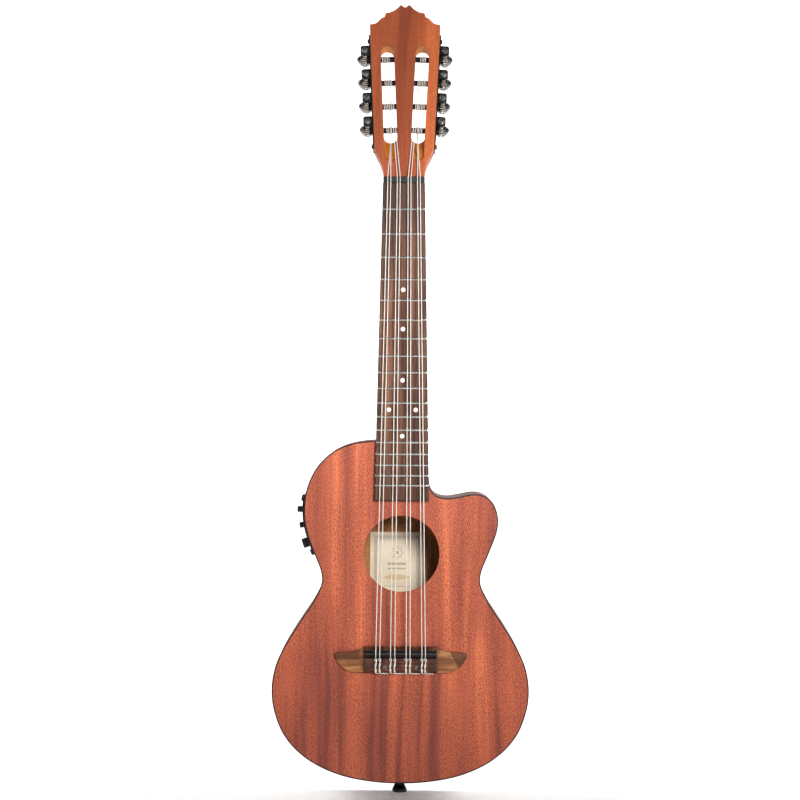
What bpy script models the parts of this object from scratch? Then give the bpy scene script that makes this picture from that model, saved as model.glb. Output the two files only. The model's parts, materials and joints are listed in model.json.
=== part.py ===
"""Eight-string, four-course flat-topped short-neck lute with a guitar-shaped body.

Design frame (millimetres in the tables, metres in the meshes):
  x  to the treble side, y  from the soundboard towards the back, z  along the
  neck to the headstock.  z = 0 is the front edge of the nut and y = 0 is the
  outer face of the soundboard.  The instrument's empty moves that frame so that
  the world origin lies in the neck just under the headstock, where a wall
  hanger's fork holds it.
"""
import math

import bmesh
import bpy
from mathutils import Matrix, Vector
from mathutils.geometry import delaunay_2d_cdt

for old in list(bpy.data.objects):
    bpy.data.objects.remove(old, do_unlink=True)

# ------------------------------------------------------------------ dimensions
MM = 0.001
GAP = 0.3                       # clearance between glued or touching pieces

SCALE_LENGTH = 432.0            # nut to saddle
FRET_COUNT = 18
HANGER = (0.0, 4.5, -20.0)      # the world origin, in design coordinates

BODY_TOP = -238.0               # z of the body's neck end
BODY_TAIL = -555.3              # z of the tail
SOUNDBOARD_T = 2.2
SIDE_T = 2.0
BACK_T = 2.5
BODY_DEPTH = 69.8               # y of the back's outer face
BACK_Y0 = BODY_DEPTH - BACK_T   # y of the back's inner face
BINDING_W = 1.2
HOLE_Z = -342.8                 # soundhole centre
HOLE_R = 35.2

NUT_LENGTH = 5.2
NUT_HALF = 19.1
BOARD_HALF_NUT = 19.4           # fingerboard half width at the nut
BOARD_HALF_END = 25.25          # and at its end
BOARD_END = -293.6
BOARD_FACE = -5.3               # y of the fingerboard's playing face
FRET_H = 1.0

STRING_R = 0.42
STRING_NUT_Y = -7.15            # string centre height at the nut
STRING_SADDLE_Y = -11.62        # and at the saddle
STRING_NUT_X = (-15.0, -12.2, -6.2, -3.5, 3.8, 6.4, 12.4, 14.9)
STRING_BRIDGE_X = (-22.8, -19.1, -9.2, -5.3, 5.2, 8.8, 19.7, 22.9)
SADDLE_Z = -434.2

HEAD_TILT = math.radians(15.0)
HEAD_ORIGIN = (0.0, -3.0, 5.2)  # front edge of the headstock's face
HEAD_T = 17.0                   # thickness with its face veneer
VENEER_T = 1.6
HEAD_START = 1.0
SIDE_ANGLE = math.atan(0.0455)  # flare of the headstock's flanks
FLANK_X = 27.7                  # half width where the flank starts
FLANK_S = 29.0

ROLLER_U = (20.0, 43.7, 67.4, 91.2)   # along the flank, nut end first
ROLLER_D = 9.0                  # roller axis behind the face
ROLLER_R = 2.7
SLOT_W = 15.55                  # slot centre, inwards from the flank
SLOT_HALF = 6.3
SLOT_RAMP = -13.8               # where the string ramp starts, along the flank
SLOT_THROUGH = 10.9             # where the slot is cut right through
SLOT_END = 101.9

WORM_OUT = 5.6                  # worm axis, outwards from the flank
WORM_UP = 7.5                   # worm axis, above its gear's axis
GEAR_TEETH = 14
GEAR_TIP = 5.2
GEAR_ROOT = 3.9
GEAR_PITCH = 4.9
WORM_LEAD = 2.0 * math.pi * GEAR_PITCH / GEAR_TEETH
WORM_CORE = 1.9
WORM_TIP = 2.9
WORM_TURNS = 3

JACK_Y = 35.0                   # end-pin jack, from the soundboard's face
JACK_HOLE = 6.3

PREAMP_Z = (-289.4, -344.8)     # panel's ends
PREAMP_Y = (11.0, 49.0)         # panel's edges
CASE_Z = (-292.6, -341.6)
CASE_Y = (15.5, 44.5)
KNOB_Y = 22.0
KEY_Y = 38.0

# half widths of the body against z, from the neck end to the waist
BASS_UPPER = ((0, -238.0), (20, -238.0), (36, -239.2), (50, -242.2), (62, -247.6),
              (72, -255.6), (80, -265.4), (85.8, -277), (89.4, -290), (90.4, -305),
              (88.6, -320), (84.2, -334), (78.6, -348), (74.2, -359.5), (73.2, -368))
TREBLE_UPPER = ((0, -238.0), (17, -238.0), (21.6, -239.6), (23.6, -244), (24.2, -256),
                (24.8, -268), (25.6, -277.5), (27.6, -284), (31.7, -288.3),
                (37.3, -290.4), (43.5, -291.0), (51, -290.0), (59.5, -288.2),
                (67.5, -287.1), (74.5, -288.0), (80.2, -290.8), (84.6, -295.2),
                (87.8, -302), (89.6, -311), (88.4, -322), (84.0, -334.6),
                (78.6, -348), (74.2, -359.5), (73.2, -368))
LOWER = ((75.6, -376.5), (82.2, -389.2), (92.0, -404), (101.5, -418.8), (110.0, -433.8),
         (116.0, -448.4), (118.9, -465), (118.4, -480), (115.2, -494), (108.6, -509.5),
         (97.5, -523.8), (80.6, -536.9), (56, -547.8), (28, -553.6), (0, -555.3))
# half outline of the headstock: half width against distance from the nut
HEAD_HALF = ((19.1, HEAD_START), (19.0, 5.0), (20.2, 11.0), (22.2, 17.0), (25.4, 23.0),
             (27.7, 29.0), (33.3, 152.0), (33.0, 153.1), (30.4, 153.5), (26.8, 155.3),
             (24.0, 158.3), (22.1, 160.3), (20.2, 161.1), (19.7, 163.0), (18.5, 165.2),
             (14.5, 165.8), (10.5, 167.2), (7.6, 169.4), (5.2, 172.4), (4.0, 173.0),
             (2.6, 172.2), (0.0, 170.6))


# ------------------------------------------------------------------- materials
def material(name, colour, roughness, metallic=0.0):
    mat = bpy.data.materials.new(name)
    mat.use_nodes = True
    shader = mat.node_tree.nodes["Principled BSDF"]
    shader.inputs["Base Color"].default_value = (*colour, 1.0)
    shader.inputs["Roughness"].default_value = roughness
    shader.inputs["Metallic"].default_value = metallic
    mat.diffuse_color = (*colour, 1.0)
    return mat


MAHOGANY = material("mahogany", (0.54, 0.17, 0.075), 0.5)
NECK_WOOD = material("neck_mahogany", (0.50, 0.16, 0.07), 0.5)
INNER_WOOD = material("inner_wood", (0.62, 0.40, 0.20), 0.7)
WALNUT = material("fingerboard_walnut", (0.13, 0.065, 0.04), 0.5)
BRIDGE_WOOD = material("bridge_rosewood", (0.15, 0.06, 0.04), 0.45)
BLACK_PLASTIC = material("black_plastic", (0.02, 0.02, 0.022), 0.35)
BLACK_BONE = material("black_nut", (0.035, 0.035, 0.038), 0.4)
BINDING = material("binding", (0.03, 0.025, 0.025), 0.4)
NYLON = material("nylon", (0.82, 0.76, 0.68), 0.3)
PAPER = material("label_paper", (0.78, 0.72, 0.55), 0.9)
BLACK_METAL = material("black_metal", (0.03, 0.03, 0.032), 0.35, 0.8)
PEARL = material("pearl_grey", (0.12, 0.115, 0.11), 0.25)
CELL = material("battery_case", (0.10, 0.11, 0.13), 0.4)
PICKUP = material("pickup_strip", (0.35, 0.33, 0.30), 0.4, 0.6)


# ------------------------------------------------------------- 2D construction
def spline(points, steps, lead_in=None, lead_out=None):
    """Centripetal Catmull-Rom curve through points, steps per span."""
    pts = [Vector(p) for p in points]
    first = Vector(lead_in) if lead_in else 2 * pts[0] - pts[1]
    last = Vector(lead_out) if lead_out else 2 * pts[-1] - pts[-2]
    pts = [first] + pts + [last]
    out = []
    for i in range(1, len(pts) - 2):
        p0, p1, p2, p3 = pts[i - 1:i + 3]
        t0 = 0.0
        t1 = t0 + math.sqrt((p1 - p0).length)
        t2 = t1 + math.sqrt((p2 - p1).length)
        t3 = t2 + math.sqrt((p3 - p2).length)
        for k in range(steps):
            t = t1 + (t2 - t1) * k / steps
            a1 = p0 * ((t1 - t) / (t1 - t0)) + p1 * ((t - t0) / (t1 - t0))
            a2 = p1 * ((t2 - t) / (t2 - t1)) + p2 * ((t - t1) / (t2 - t1))
            a3 = p2 * ((t3 - t) / (t3 - t2)) + p3 * ((t - t2) / (t3 - t2))
            b1 = a1 * ((t2 - t) / (t2 - t0)) + a2 * ((t - t0) / (t2 - t0))
            b2 = a2 * ((t3 - t) / (t3 - t1)) + a3 * ((t - t1) / (t3 - t1))
            out.append(b1 * ((t2 - t) / (t2 - t1)) + b2 * ((t - t1) / (t2 - t1)))
    out.append(pts[-2])
    return [(p[0], p[1]) for p in out]


def body_half(side, steps=2):
    """One side of the body's plan from neck to tail; side is -1 bass, +1 treble."""
    upper = BASS_UPPER if side < 0 else TREBLE_UPPER
    stations = [(side * x, z) for x, z in upper + LOWER]
    return spline(stations, steps, (-stations[1][0], stations[1][1]),
                  (-stations[-2][0], stations[-2][1]))


def offset(points, distance, closed=False):
    """Moves a polyline sideways; positive is to the left of its direction."""
    n = len(points)
    out = []
    for i in range(n):
        a = Vector(points[i - 1] if closed or i else points[0])
        b = Vector(points[i])
        c = Vector(points[(i + 1) % n] if closed or i < n - 1 else points[-1])
        d1 = (b - a).normalized() if (b - a).length > 1e-9 else (c - b).normalized()
        d2 = (c - b).normalized() if (c - b).length > 1e-9 else d1
        n1 = Vector((-d1[1], d1[0]))
        n2 = Vector((-d2[1], d2[0]))
        m = (n1 + n2).normalized()
        out.append(tuple(b + m * (distance / max(0.5, m.dot(n1)))))
    return out


def circle(radius, count, cx=0.0, cy=0.0, phase=0.0):
    return [(cx + radius * math.cos(phase + 2 * math.pi * i / count),
             cy + radius * math.sin(phase + 2 * math.pi * i / count))
            for i in range(count)]


def within(point, loop):
    x, y = point
    hit = False
    for i in range(len(loop)):
        x0, y0 = loop[i - 1]
        x1, y1 = loop[i]
        if (y0 > y) != (y1 > y) and x < (x1 - x0) * (y - y0) / (y1 - y0) + x0:
            hit = not hit
    return hit


def fill(loops):
    """Triangles of an outline with holes, as indices into the joined loops."""
    pts = [Vector(p) for loop in loops for p in loop]
    edges = []
    base = 0
    for loop in loops:
        n = len(loop)
        edges += [(base + i, base + (i + 1) % n) for i in range(n)]
        base += n
    co, _, faces, orig, _, _ = delaunay_2d_cdt(pts, edges, [], 1, 1e-7)
    tris = []
    for face in faces:
        mid = sum((co[i] for i in face), Vector((0.0, 0.0))) / len(face)
        if within(mid, loops[0]) and not any(within(mid, h) for h in loops[1:]):
            tris.append([orig[i][0] for i in face])
    return tris


# ------------------------------------------------------------------ solids
def make(name, verts, faces, mat, parent=None, location=None, rotation=None, smooth=30.0):
    """One closed body from millimetre vertices, faces turned outwards."""
    bm = bmesh.new()
    bv = [bm.verts.new(Vector(v) * MM) for v in verts]
    for f in faces:
        if len(set(f)) > 2:
            bm.faces.new([bv[i] for i in f])
    bmesh.ops.recalc_face_normals(bm, faces=bm.faces)
    mesh = bpy.data.meshes.new(name)
    bm.to_mesh(mesh)
    bm.free()
    if smooth:
        mesh.shade_smooth()
        mesh.set_sharp_from_angle(angle=math.radians(smooth))
    mesh.materials.append(mat)
    return place(bpy.data.objects.new(name, mesh), parent, location, rotation)


def place(obj, parent=None, location=None, rotation=None):
    bpy.context.scene.collection.objects.link(obj)
    obj.parent = parent
    if location:
        obj.location = Vector(location) * MM
    if rotation:
        obj.rotation_euler = rotation
    return obj


def empty(name, parent=None, location=None, rotation=None):
    obj = bpy.data.objects.new(name, None)
    obj.empty_display_size = 0.02
    return place(obj, parent, location, rotation)


def prism(loops, near, far):
    """Solid between two placements of the same outline with holes."""
    flat = [p for loop in loops for p in loop]
    n = len(flat)
    verts = [near(*p) for p in flat] + [far(*p) for p in flat]
    tris = fill(loops)
    faces = [list(t) for t in tris] + [[i + n for i in t] for t in tris]
    base = 0
    for loop in loops:
        m = len(loop)
        for i in range(m):
            a, b = base + i, base + (i + 1) % m
            faces.append([a, b, b + n, a + n])
        base += m
    return verts, faces


def slab(loops, y0, y1):
    """Prism of an (x, z) outline between two depths."""
    return prism(loops, lambda x, z: (x, y0, z), lambda x, z: (x, y1, z))


def walls(a, b):
    n = len(a)
    return [[a[i], a[(i + 1) % n], b[(i + 1) % n], b[i]] for i in range(n)]


def stack(rings, put):
    """Stepped solid: rings of (loop, t); two rings at one t make a shoulder."""
    verts, faces = [], []
    index = []
    for loop, t in rings:
        index.append(list(range(len(verts), len(verts) + len(loop))))
        verts += [put(u, v, t) for u, v in loop]
    faces += [[index[0][i] for i in tri] for tri in fill([rings[0][0]])]
    for k in range(len(rings) - 1):
        (la, ta), (lb, tb) = rings[k], rings[k + 1]
        if abs(ta - tb) < 1e-9:
            reach = [max(abs(c) for p in loop for c in p) for loop in (la, lb)]
            big, small = (k, k + 1) if reach[0] > reach[1] else (k + 1, k)
            both = index[big] + index[small]
            faces += [[both[i] for i in tri] for tri in fill([rings[big][0], rings[small][0]])]
        else:
            faces += walls(index[k], index[k + 1])
    faces += [[index[-1][i] for i in tri] for tri in fill([rings[-1][0]])]
    return verts, faces


def loft(rings):
    """Closed skin over rings of equal count, flat caps at both ends."""
    verts = [p for ring in rings for p in ring]
    n = len(rings[0])
    faces = [list(range(n))[::-1], list(range(len(verts) - n, len(verts)))]
    for k in range(len(rings) - 1):
        faces += walls(list(range(k * n, k * n + n)), list(range(k * n + n, k * n + 2 * n)))
    return verts, faces


def turned(profile, count, put):
    """Solid of revolution of a closed (r, t) profile that stays off its axis."""
    verts, faces = [], []
    m = len(profile)
    for r, t in profile:
        verts += [put(r * math.cos(2 * math.pi * i / count),
                      r * math.sin(2 * math.pi * i / count), t) for i in range(count)]
    for k in range(m):
        a, b = k * count, (k + 1) % m * count
        faces += walls(list(range(a, a + count)), list(range(b, b + count)))
    return verts, faces


def tube(path, radius, sides):
    """Round bar along a path, with flat ends."""
    pts = [Vector(p) for p in path]
    rings = []
    ref = None
    for i, p in enumerate(pts):
        d = (pts[min(i + 1, len(pts) - 1)] - pts[max(i - 1, 0)]).normalized()
        if ref is None:
            ref = d.orthogonal().normalized()
        ref = (ref - d * ref.dot(d)).normalized()
        other = d.cross(ref)
        rings.append([tuple(p + radius * (ref * math.cos(2 * math.pi * k / sides)
                                          + other * math.sin(2 * math.pi * k / sides)))
                      for k in range(sides)])
    return loft(rings)


def block(x0, x1, y0, y1, z0, z1):
    return slab([[(x0, z0), (x1, z0), (x1, z1), (x0, z1)]], y0, y1)


def cutter(name, verts, faces, parent, location=None, rotation=None):
    obj = make(name, verts, faces, INNER_WOOD, parent, location, rotation, smooth=None)
    obj.hide_render = True
    obj.display_type = 'WIRE'
    return obj


def boolean(obj, tool, operation='DIFFERENCE'):
    mod = obj.modifiers.new(tool.name, 'BOOLEAN')
    mod.operation = operation
    mod.solver = 'EXACT'
    mod.object = tool


# ------------------------------------------------------------------- frames
instrument = empty("instrument", None, tuple(-c for c in HANGER))
headstock_frame = empty("headstock_frame", instrument, HEAD_ORIGIN, (-HEAD_TILT, 0.0, 0.0))
tuner_frames = {}
for side, word in ((-1, "bass"), (1, "treble")):
    tuner_frames[side] = empty("tuner_frame_" + word, headstock_frame,
                               (side * FLANK_X, 0.0, FLANK_S), (0.0, side * SIDE_ANGLE, 0.0))

# --------------------------------------------------------------- body plan
bass = body_half(-1)
treble = body_half(1)
# closed plan, running tail to neck up the bass side and back down the treble side
plan = bass[::-1][:-1] + treble[:-1]


def inner(points, side, distance):
    """A side's polyline moved into the body by distance."""
    return offset(points, distance if side < 0 else -distance)


def plan_inset(distance):
    return offset(plan, -distance, closed=True)


def strip(points, side, d0, d1, y0, y1):
    """Curved strip along a side, between two insets and two depths."""
    a, b = inner(points, side, d0), inner(points, side, d1)
    return slab([a + b[::-1]], y0, y1)


def along(points, z0, z1, count):
    """The part of a side's polyline between two z values, evenly stepped in z."""
    out = []
    for i in range(count + 1):
        z = z0 + (z1 - z0) * i / count
        for p, q in zip(points, points[1:]):
            if (p[1] - z) * (q[1] - z) <= 0 and abs(p[1] - q[1]) > 1e-9:
                t = (z - p[1]) / (q[1] - p[1])
                out.append((p[0] + t * (q[0] - p[0]), z))
                break
    return out


# ------------------------------------------------------------------- body
hole = [(x, z + HOLE_Z) for x, z in circle(HOLE_R, 40)]
make("soundboard", *slab([plan_inset(BINDING_W + GAP), hole], 0.0, SOUNDBOARD_T),
     MAHOGANY, instrument)
make("top_binding", *slab([plan, plan_inset(BINDING_W)], 0.0, SOUNDBOARD_T), BINDING, instrument)
make("back_plate", *slab([plan], BACK_Y0, BODY_DEPTH), MAHOGANY, instrument)

RIB_Y = (SOUNDBOARD_T + GAP, BACK_Y0 - GAP)


def rib_line(points, side):
    """A rib stops short of the centre line at both ends."""
    line = list(points)
    line[0] = (side * 0.5 * GAP, line[0][1])
    line[-1] = (side * 0.5 * GAP, line[-1][1])
    return line


side_bass = make("side_bass", *strip(rib_line(bass, -1), -1, 0.0, SIDE_T, *RIB_Y),
                 MAHOGANY, instrument)
side_treble = make("side_treble", *strip(rib_line(treble, 1), 1, 0.0, SIDE_T, *RIB_Y),
                   MAHOGANY, instrument)

make("neck_block", *slab([[(-27.5, -241.6), (-12, -240.6), (16.5, -240.6), (19.6, -243.2),
                           (20.9, -247.5), (21.6, -262.0), (21.9, -268.0), (-27.5, -268.0)]],
                         *RIB_Y), INNER_WOOD, instrument)
tail_block = make("tail_block", *slab([[(-25, -551.2), (-12.5, -552.5), (0, -552.8),
                                        (12.5, -552.5), (25, -551.2), (25, -533), (-25, -533)]],
                                      *RIB_Y), INNER_WOOD, instrument)

jack_bore = cutter("jack_bore", *stack([(circle(JACK_HOLE, 16), -566.0),
                                        (circle(JACK_HOLE, 16), -525.0)],
                                       lambda u, v, t: (u, v + JACK_Y, t)), instrument)
for piece in (side_bass, side_treble, tail_block):
    boolean(piece, jack_bore)

for side, word, line in ((-1, "bass", bass), (1, "treble", treble)):
    start = next(i for i, p in enumerate(line)
                 if (abs(p[0]) > 30.0 if side < 0 else p[1] < -270.0))
    stop = max(i for i, p in enumerate(line) if abs(p[0]) > 27.5)
    run = line[start:stop + 1:2]
    make("lining_top_" + word, *strip(run, side, SIDE_T + 3 * GAP, 6.8, RIB_Y[0], 8.5),
         INNER_WOOD, instrument)
    make("lining_back_" + word, *strip(run, side, SIDE_T + 3 * GAP, 6.8, 61.0, RIB_Y[1]),
         INNER_WOOD, instrument)


def brace(name, x0, x1, z, width, y_glue, y_free):
    """Cross brace: straight on its glued edge, tapered at both free ends."""
    mid = y_glue + 0.35 * (y_free - y_glue)
    run = 14.0
    profile = [(x0, y_glue), (x1, y_glue), (x1, mid), (x1 - run, y_free),
               (x0 + run, y_free), (x0, mid)]
    make(name, *prism([profile], lambda x, y: (x, y, z - width / 2),
                      lambda x, y: (x, y, z + width / 2)), INNER_WOOD, instrument)


TOP_GLUE = SOUNDBOARD_T + GAP
BACK_GLUE = BACK_Y0 - GAP
brace("soundboard_brace_upper", -81.0, 72.0, -302.0, 6.0, TOP_GLUE, 11.0)
brace("soundboard_brace_lower", -73.0, 73.0, -391.0, 6.0, TOP_GLUE, 11.0)
brace("back_brace_upper", -81.0, 74.0, -306.0, 7.0, BACK_GLUE, 57.0)
brace("back_brace_lower", -111.0, 111.0, -470.0, 7.0, BACK_GLUE, 57.0)
make("bridge_plate", *block(-50, 50, TOP_GLUE, TOP_GLUE + 2.0, -457, -424), INNER_WOOD, instrument)
make("label", *block(-29.5, 22.0, BACK_GLUE - 0.5, BACK_GLUE, -404.0, -326.4), PAPER, instrument)
make("battery", *block(-74.5, -28.3, 49.8, BACK_GLUE, -297.0, -271.0), CELL, instrument)

# ------------------------------------------------------------ end-pin jack
# a threaded barrel through the tail block, a waist for the strap and a flange,
# all on one plug socket
jack_profile = [(3.3, -568.6), (6.9, -568.6), (6.9, -565.6), (4.7, -561.0), (4.7, -558.2),
                (7.4, -557.4), (7.4, -555.9), (6.0, -555.9), (6.0, -532.0), (5.4, -530.5),
                (5.4, -512.0), (3.3, -512.0)]
make("end_pin_jack", *turned(jack_profile, 14, lambda u, v, t: (u, v + JACK_Y, t)),
     BLACK_METAL, instrument)


# ------------------------------------------------------------------- neck
def board_half(z):
    """Half width of the fingerboard at z."""
    return BOARD_HALF_NUT + (BOARD_HALF_END - BOARD_HALF_NUT) * z / BOARD_END


def neck_ring(z, half, depth, power, taper, tilted=False, count=12):
    """Section of the neck: flat under the fingerboard, rounded behind."""
    ring = []
    for j in range(count + 1):
        a = math.pi * j / count
        c, s = math.cos(a), math.sin(a)
        y = depth * abs(s) ** (power if power < 0.8 else 0.9)
        x = half * math.copysign(abs(c) ** power, c) * (1.0 - taper * (y / depth) ** 1.2)
        ring.append((x, y, z - math.tan(HEAD_TILT) * y if tilted else z))
    return ring


NECK_STATIONS = ((-8.0, 13.5, 0.50, 0.0), (-24.0, 13.4, 0.85, 0.0), (-110.0, 14.2, 0.85, 0.0),
                 (-180.0, 15.2, 0.85, 0.0), (-198.0, 17.0, 0.85, 0.03), (-208.0, 21.5, 0.82, 0.1),
                 (-215.0, 29.5, 0.78, 0.2), (-220.0, 41.0, 0.74, 0.3), (-224.0, 55.0, 0.7, 0.37),
                 (-227.5, 66.9, 0.62, 0.42), (BODY_TOP + GAP, 66.9, 0.5, 0.45))
neck_rings = [neck_ring(5.1, NUT_HALF - 0.1, 13.45, 0.35, 0.0, True)]
for z, depth, power, taper in NECK_STATIONS:
    neck_rings.append(neck_ring(z, board_half(z) - 0.1, depth, power, taper))
make("neck", *loft(neck_rings), NECK_WOOD, instrument)
make("heel_cap", *slab([[(-13.0, -237.7), (13.0, -237.7), (12.6, -232.5), (9.6, -228.6),
                         (4.5, -226.8), (-4.5, -226.8), (-9.6, -228.6), (-12.6, -232.5)]],
                       66.9 + GAP, BODY_DEPTH), BLACK_PLASTIC, instrument)

# fingerboard with its fret wires: one profile along the neck, widened by its taper
fret_profile = [(0.0, -GAP), (0.0, BOARD_FACE)]
for number in range(1, FRET_COUNT + 1):
    z = -SCALE_LENGTH * (1.0 - 2.0 ** (-number / 12.0))
    fret_profile += [(z + 1.1, BOARD_FACE), (z + 0.55, BOARD_FACE - FRET_H),
                     (z - 0.55, BOARD_FACE - FRET_H), (z - 1.1, BOARD_FACE)]
fret_profile += [(BOARD_END, BOARD_FACE), (BOARD_END, -GAP)]
make("fingerboard", *prism([fret_profile], lambda z, y: (-board_half(z), y, z),
                           lambda z, y: (board_half(z), y, z)), WALNUT, instrument)

# nut, notched for each string
nut_profile = [(-NUT_HALF, -GAP), (-NUT_HALF, -7.7)]
for x in STRING_NUT_X:
    nut_profile += [(x - 0.75, -7.7), (x - 0.72, -6.4), (x + 0.72, -6.4), (x + 0.75, -7.7)]
nut_profile += [(NUT_HALF, -7.7), (NUT_HALF, -GAP)]
make("nut", *prism([nut_profile], lambda x, y: (x, y, GAP), lambda x, y: (x, y, NUT_LENGTH)),
     BLACK_BONE, instrument)

# --------------------------------------------------------------- headstock
head_outline = list(HEAD_HALF) + [(-x, s) for x, s in HEAD_HALF[-2::-1]]
headstock = make("headstock", *prism([head_outline], lambda x, s: (x, VENEER_T + GAP, s),
                                     lambda x, s: (x, HEAD_T, s)), NECK_WOOD, headstock_frame)
veneer = make("headstock_veneer", *prism([head_outline], lambda x, s: (x, 0.0, s),
                                         lambda x, s: (x, VENEER_T, s)), MAHOGANY,
              headstock_frame)


def slot_ring(side, depth):
    """Stadium section of a string slot; its nut end recedes with depth as a ramp."""
    low = SLOT_RAMP + depth * (SLOT_THROUGH - SLOT_RAMP) / HEAD_T + SLOT_HALF
    high = SLOT_END - SLOT_HALF
    ring = []
    for i in range(9):
        a = math.pi * i / 8
        ring.append((SLOT_HALF * math.cos(a), high + SLOT_HALF * math.sin(a)))
    for i in range(9):
        a = math.pi + math.pi * i / 8
        ring.append((SLOT_HALF * math.cos(a), low + SLOT_HALF * math.sin(a)))
    return [(x - side * SLOT_W, depth, u) for x, u in ring]


for side, word in ((-1, "bass"), (1, "treble")):
    tool = cutter("slot_cut_" + word, *loft([slot_ring(side, -1.0), slot_ring(side, HEAD_T + 1.0)]),
                  tuner_frames[side])
    boolean(headstock, tool)
    boolean(veneer, tool)
    for k, u in enumerate(ROLLER_U):
        bore = cutter("roller_bore_%s_%d" % (word, k + 1),
                      *stack([(circle(3.1, 10), -26.2), (circle(3.1, 10), 4.0)],
                             lambda p, q, t, s=side, h=u: (s * t, ROLLER_D + p, h + q)),
                      tuner_frames[side])
        boolean(headstock, bore)

# ------------------------------------------------------------------ tuners
PLATE_OUT = (GAP, 1.3)
PLATE_D = (1.0, 16.4)
PLATE_U = (-0.2, 114.7)


def lug(side, u, d0, d1):
    """Worm bearing: a rounded tab standing out of the plate, with the spindle's hole."""
    c = u + WORM_UP
    shape = [(0.8, c - 4.9), (7.3, c - 4.9), (9.0, c - 3.6), (9.5, c - 1.7), (9.5, c + 1.7),
             (9.0, c + 3.6), (7.3, c + 4.9), (0.8, c + 4.9)]
    return prism([shape, circle(2.35, 8, WORM_OUT, c, math.pi / 8)],
                 lambda o, h: (side * o, d0, h), lambda o, h: (side * o, d1, h))


for side, word in ((-1, "bass"), (1, "treble")):
    sheet = [(PLATE_U[0], PLATE_D[0]), (PLATE_U[1], PLATE_D[0]), (PLATE_U[1], PLATE_D[1]),
             (PLATE_U[0], PLATE_D[1])]
    holes = [circle(3.1, 10, u, ROLLER_D) for u in ROLLER_U]
    plate = make("tuner_plate_" + word,
                 *prism([sheet] + holes, lambda u, d: (side * PLATE_OUT[0], d, u),
                        lambda u, d: (side * PLATE_OUT[1], d, u)), BLACK_METAL,
                 tuner_frames[side])
    verts, faces = [], []
    for u in ROLLER_U:
        for d0, d1 in ((2.0, 4.2), (13.8, 16.2)):
            v, f = lug(side, u, d0, d1)
            faces += [[i + len(verts) for i in face] for face in f]
            verts += v
    boolean(plate, cutter("tuner_lugs_" + word, verts, faces, tuner_frames[side]), 'UNION')


def gear_loop():
    """Wheel outline: a narrow tip per tooth and a vee valley, one valley at +y."""
    loop = []
    half_tip = 0.25 / GEAR_TIP
    pitch = 2.0 * math.pi / GEAR_TEETH
    for k in range(GEAR_TEETH):
        a = math.pi / 2 + k * pitch
        loop.append((GEAR_ROOT * math.cos(a), GEAR_ROOT * math.sin(a)))
        for shift in (-half_tip, half_tip):
            b = a + pitch / 2 + shift
            loop.append((GEAR_TIP * math.cos(b), GEAR_TIP * math.sin(b)))
    return loop


# roller: barrel across the slot, collar, worm wheel and the wheel's screw head
barrel = circle(ROLLER_R, 10)
collar = circle(3.5, 10)
wheel = gear_loop()
screw = circle(2.4, 10)
roller_verts, roller_faces = stack(
    [(barrel, -25.8), (barrel, 1.7), (collar, 1.7), (collar, WORM_OUT - 1.3),
     (wheel, WORM_OUT - 1.3), (wheel, WORM_OUT + 1.3), (screw, WORM_OUT + 1.3),
     (screw, WORM_OUT + 2.6)], lambda p, q, t: (t, p, q))
# local axes of the wheel: X out of the flank, Z along the flank to the crown
roller_verts = [(x, -y, z) for x, y, z in roller_verts]


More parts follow.
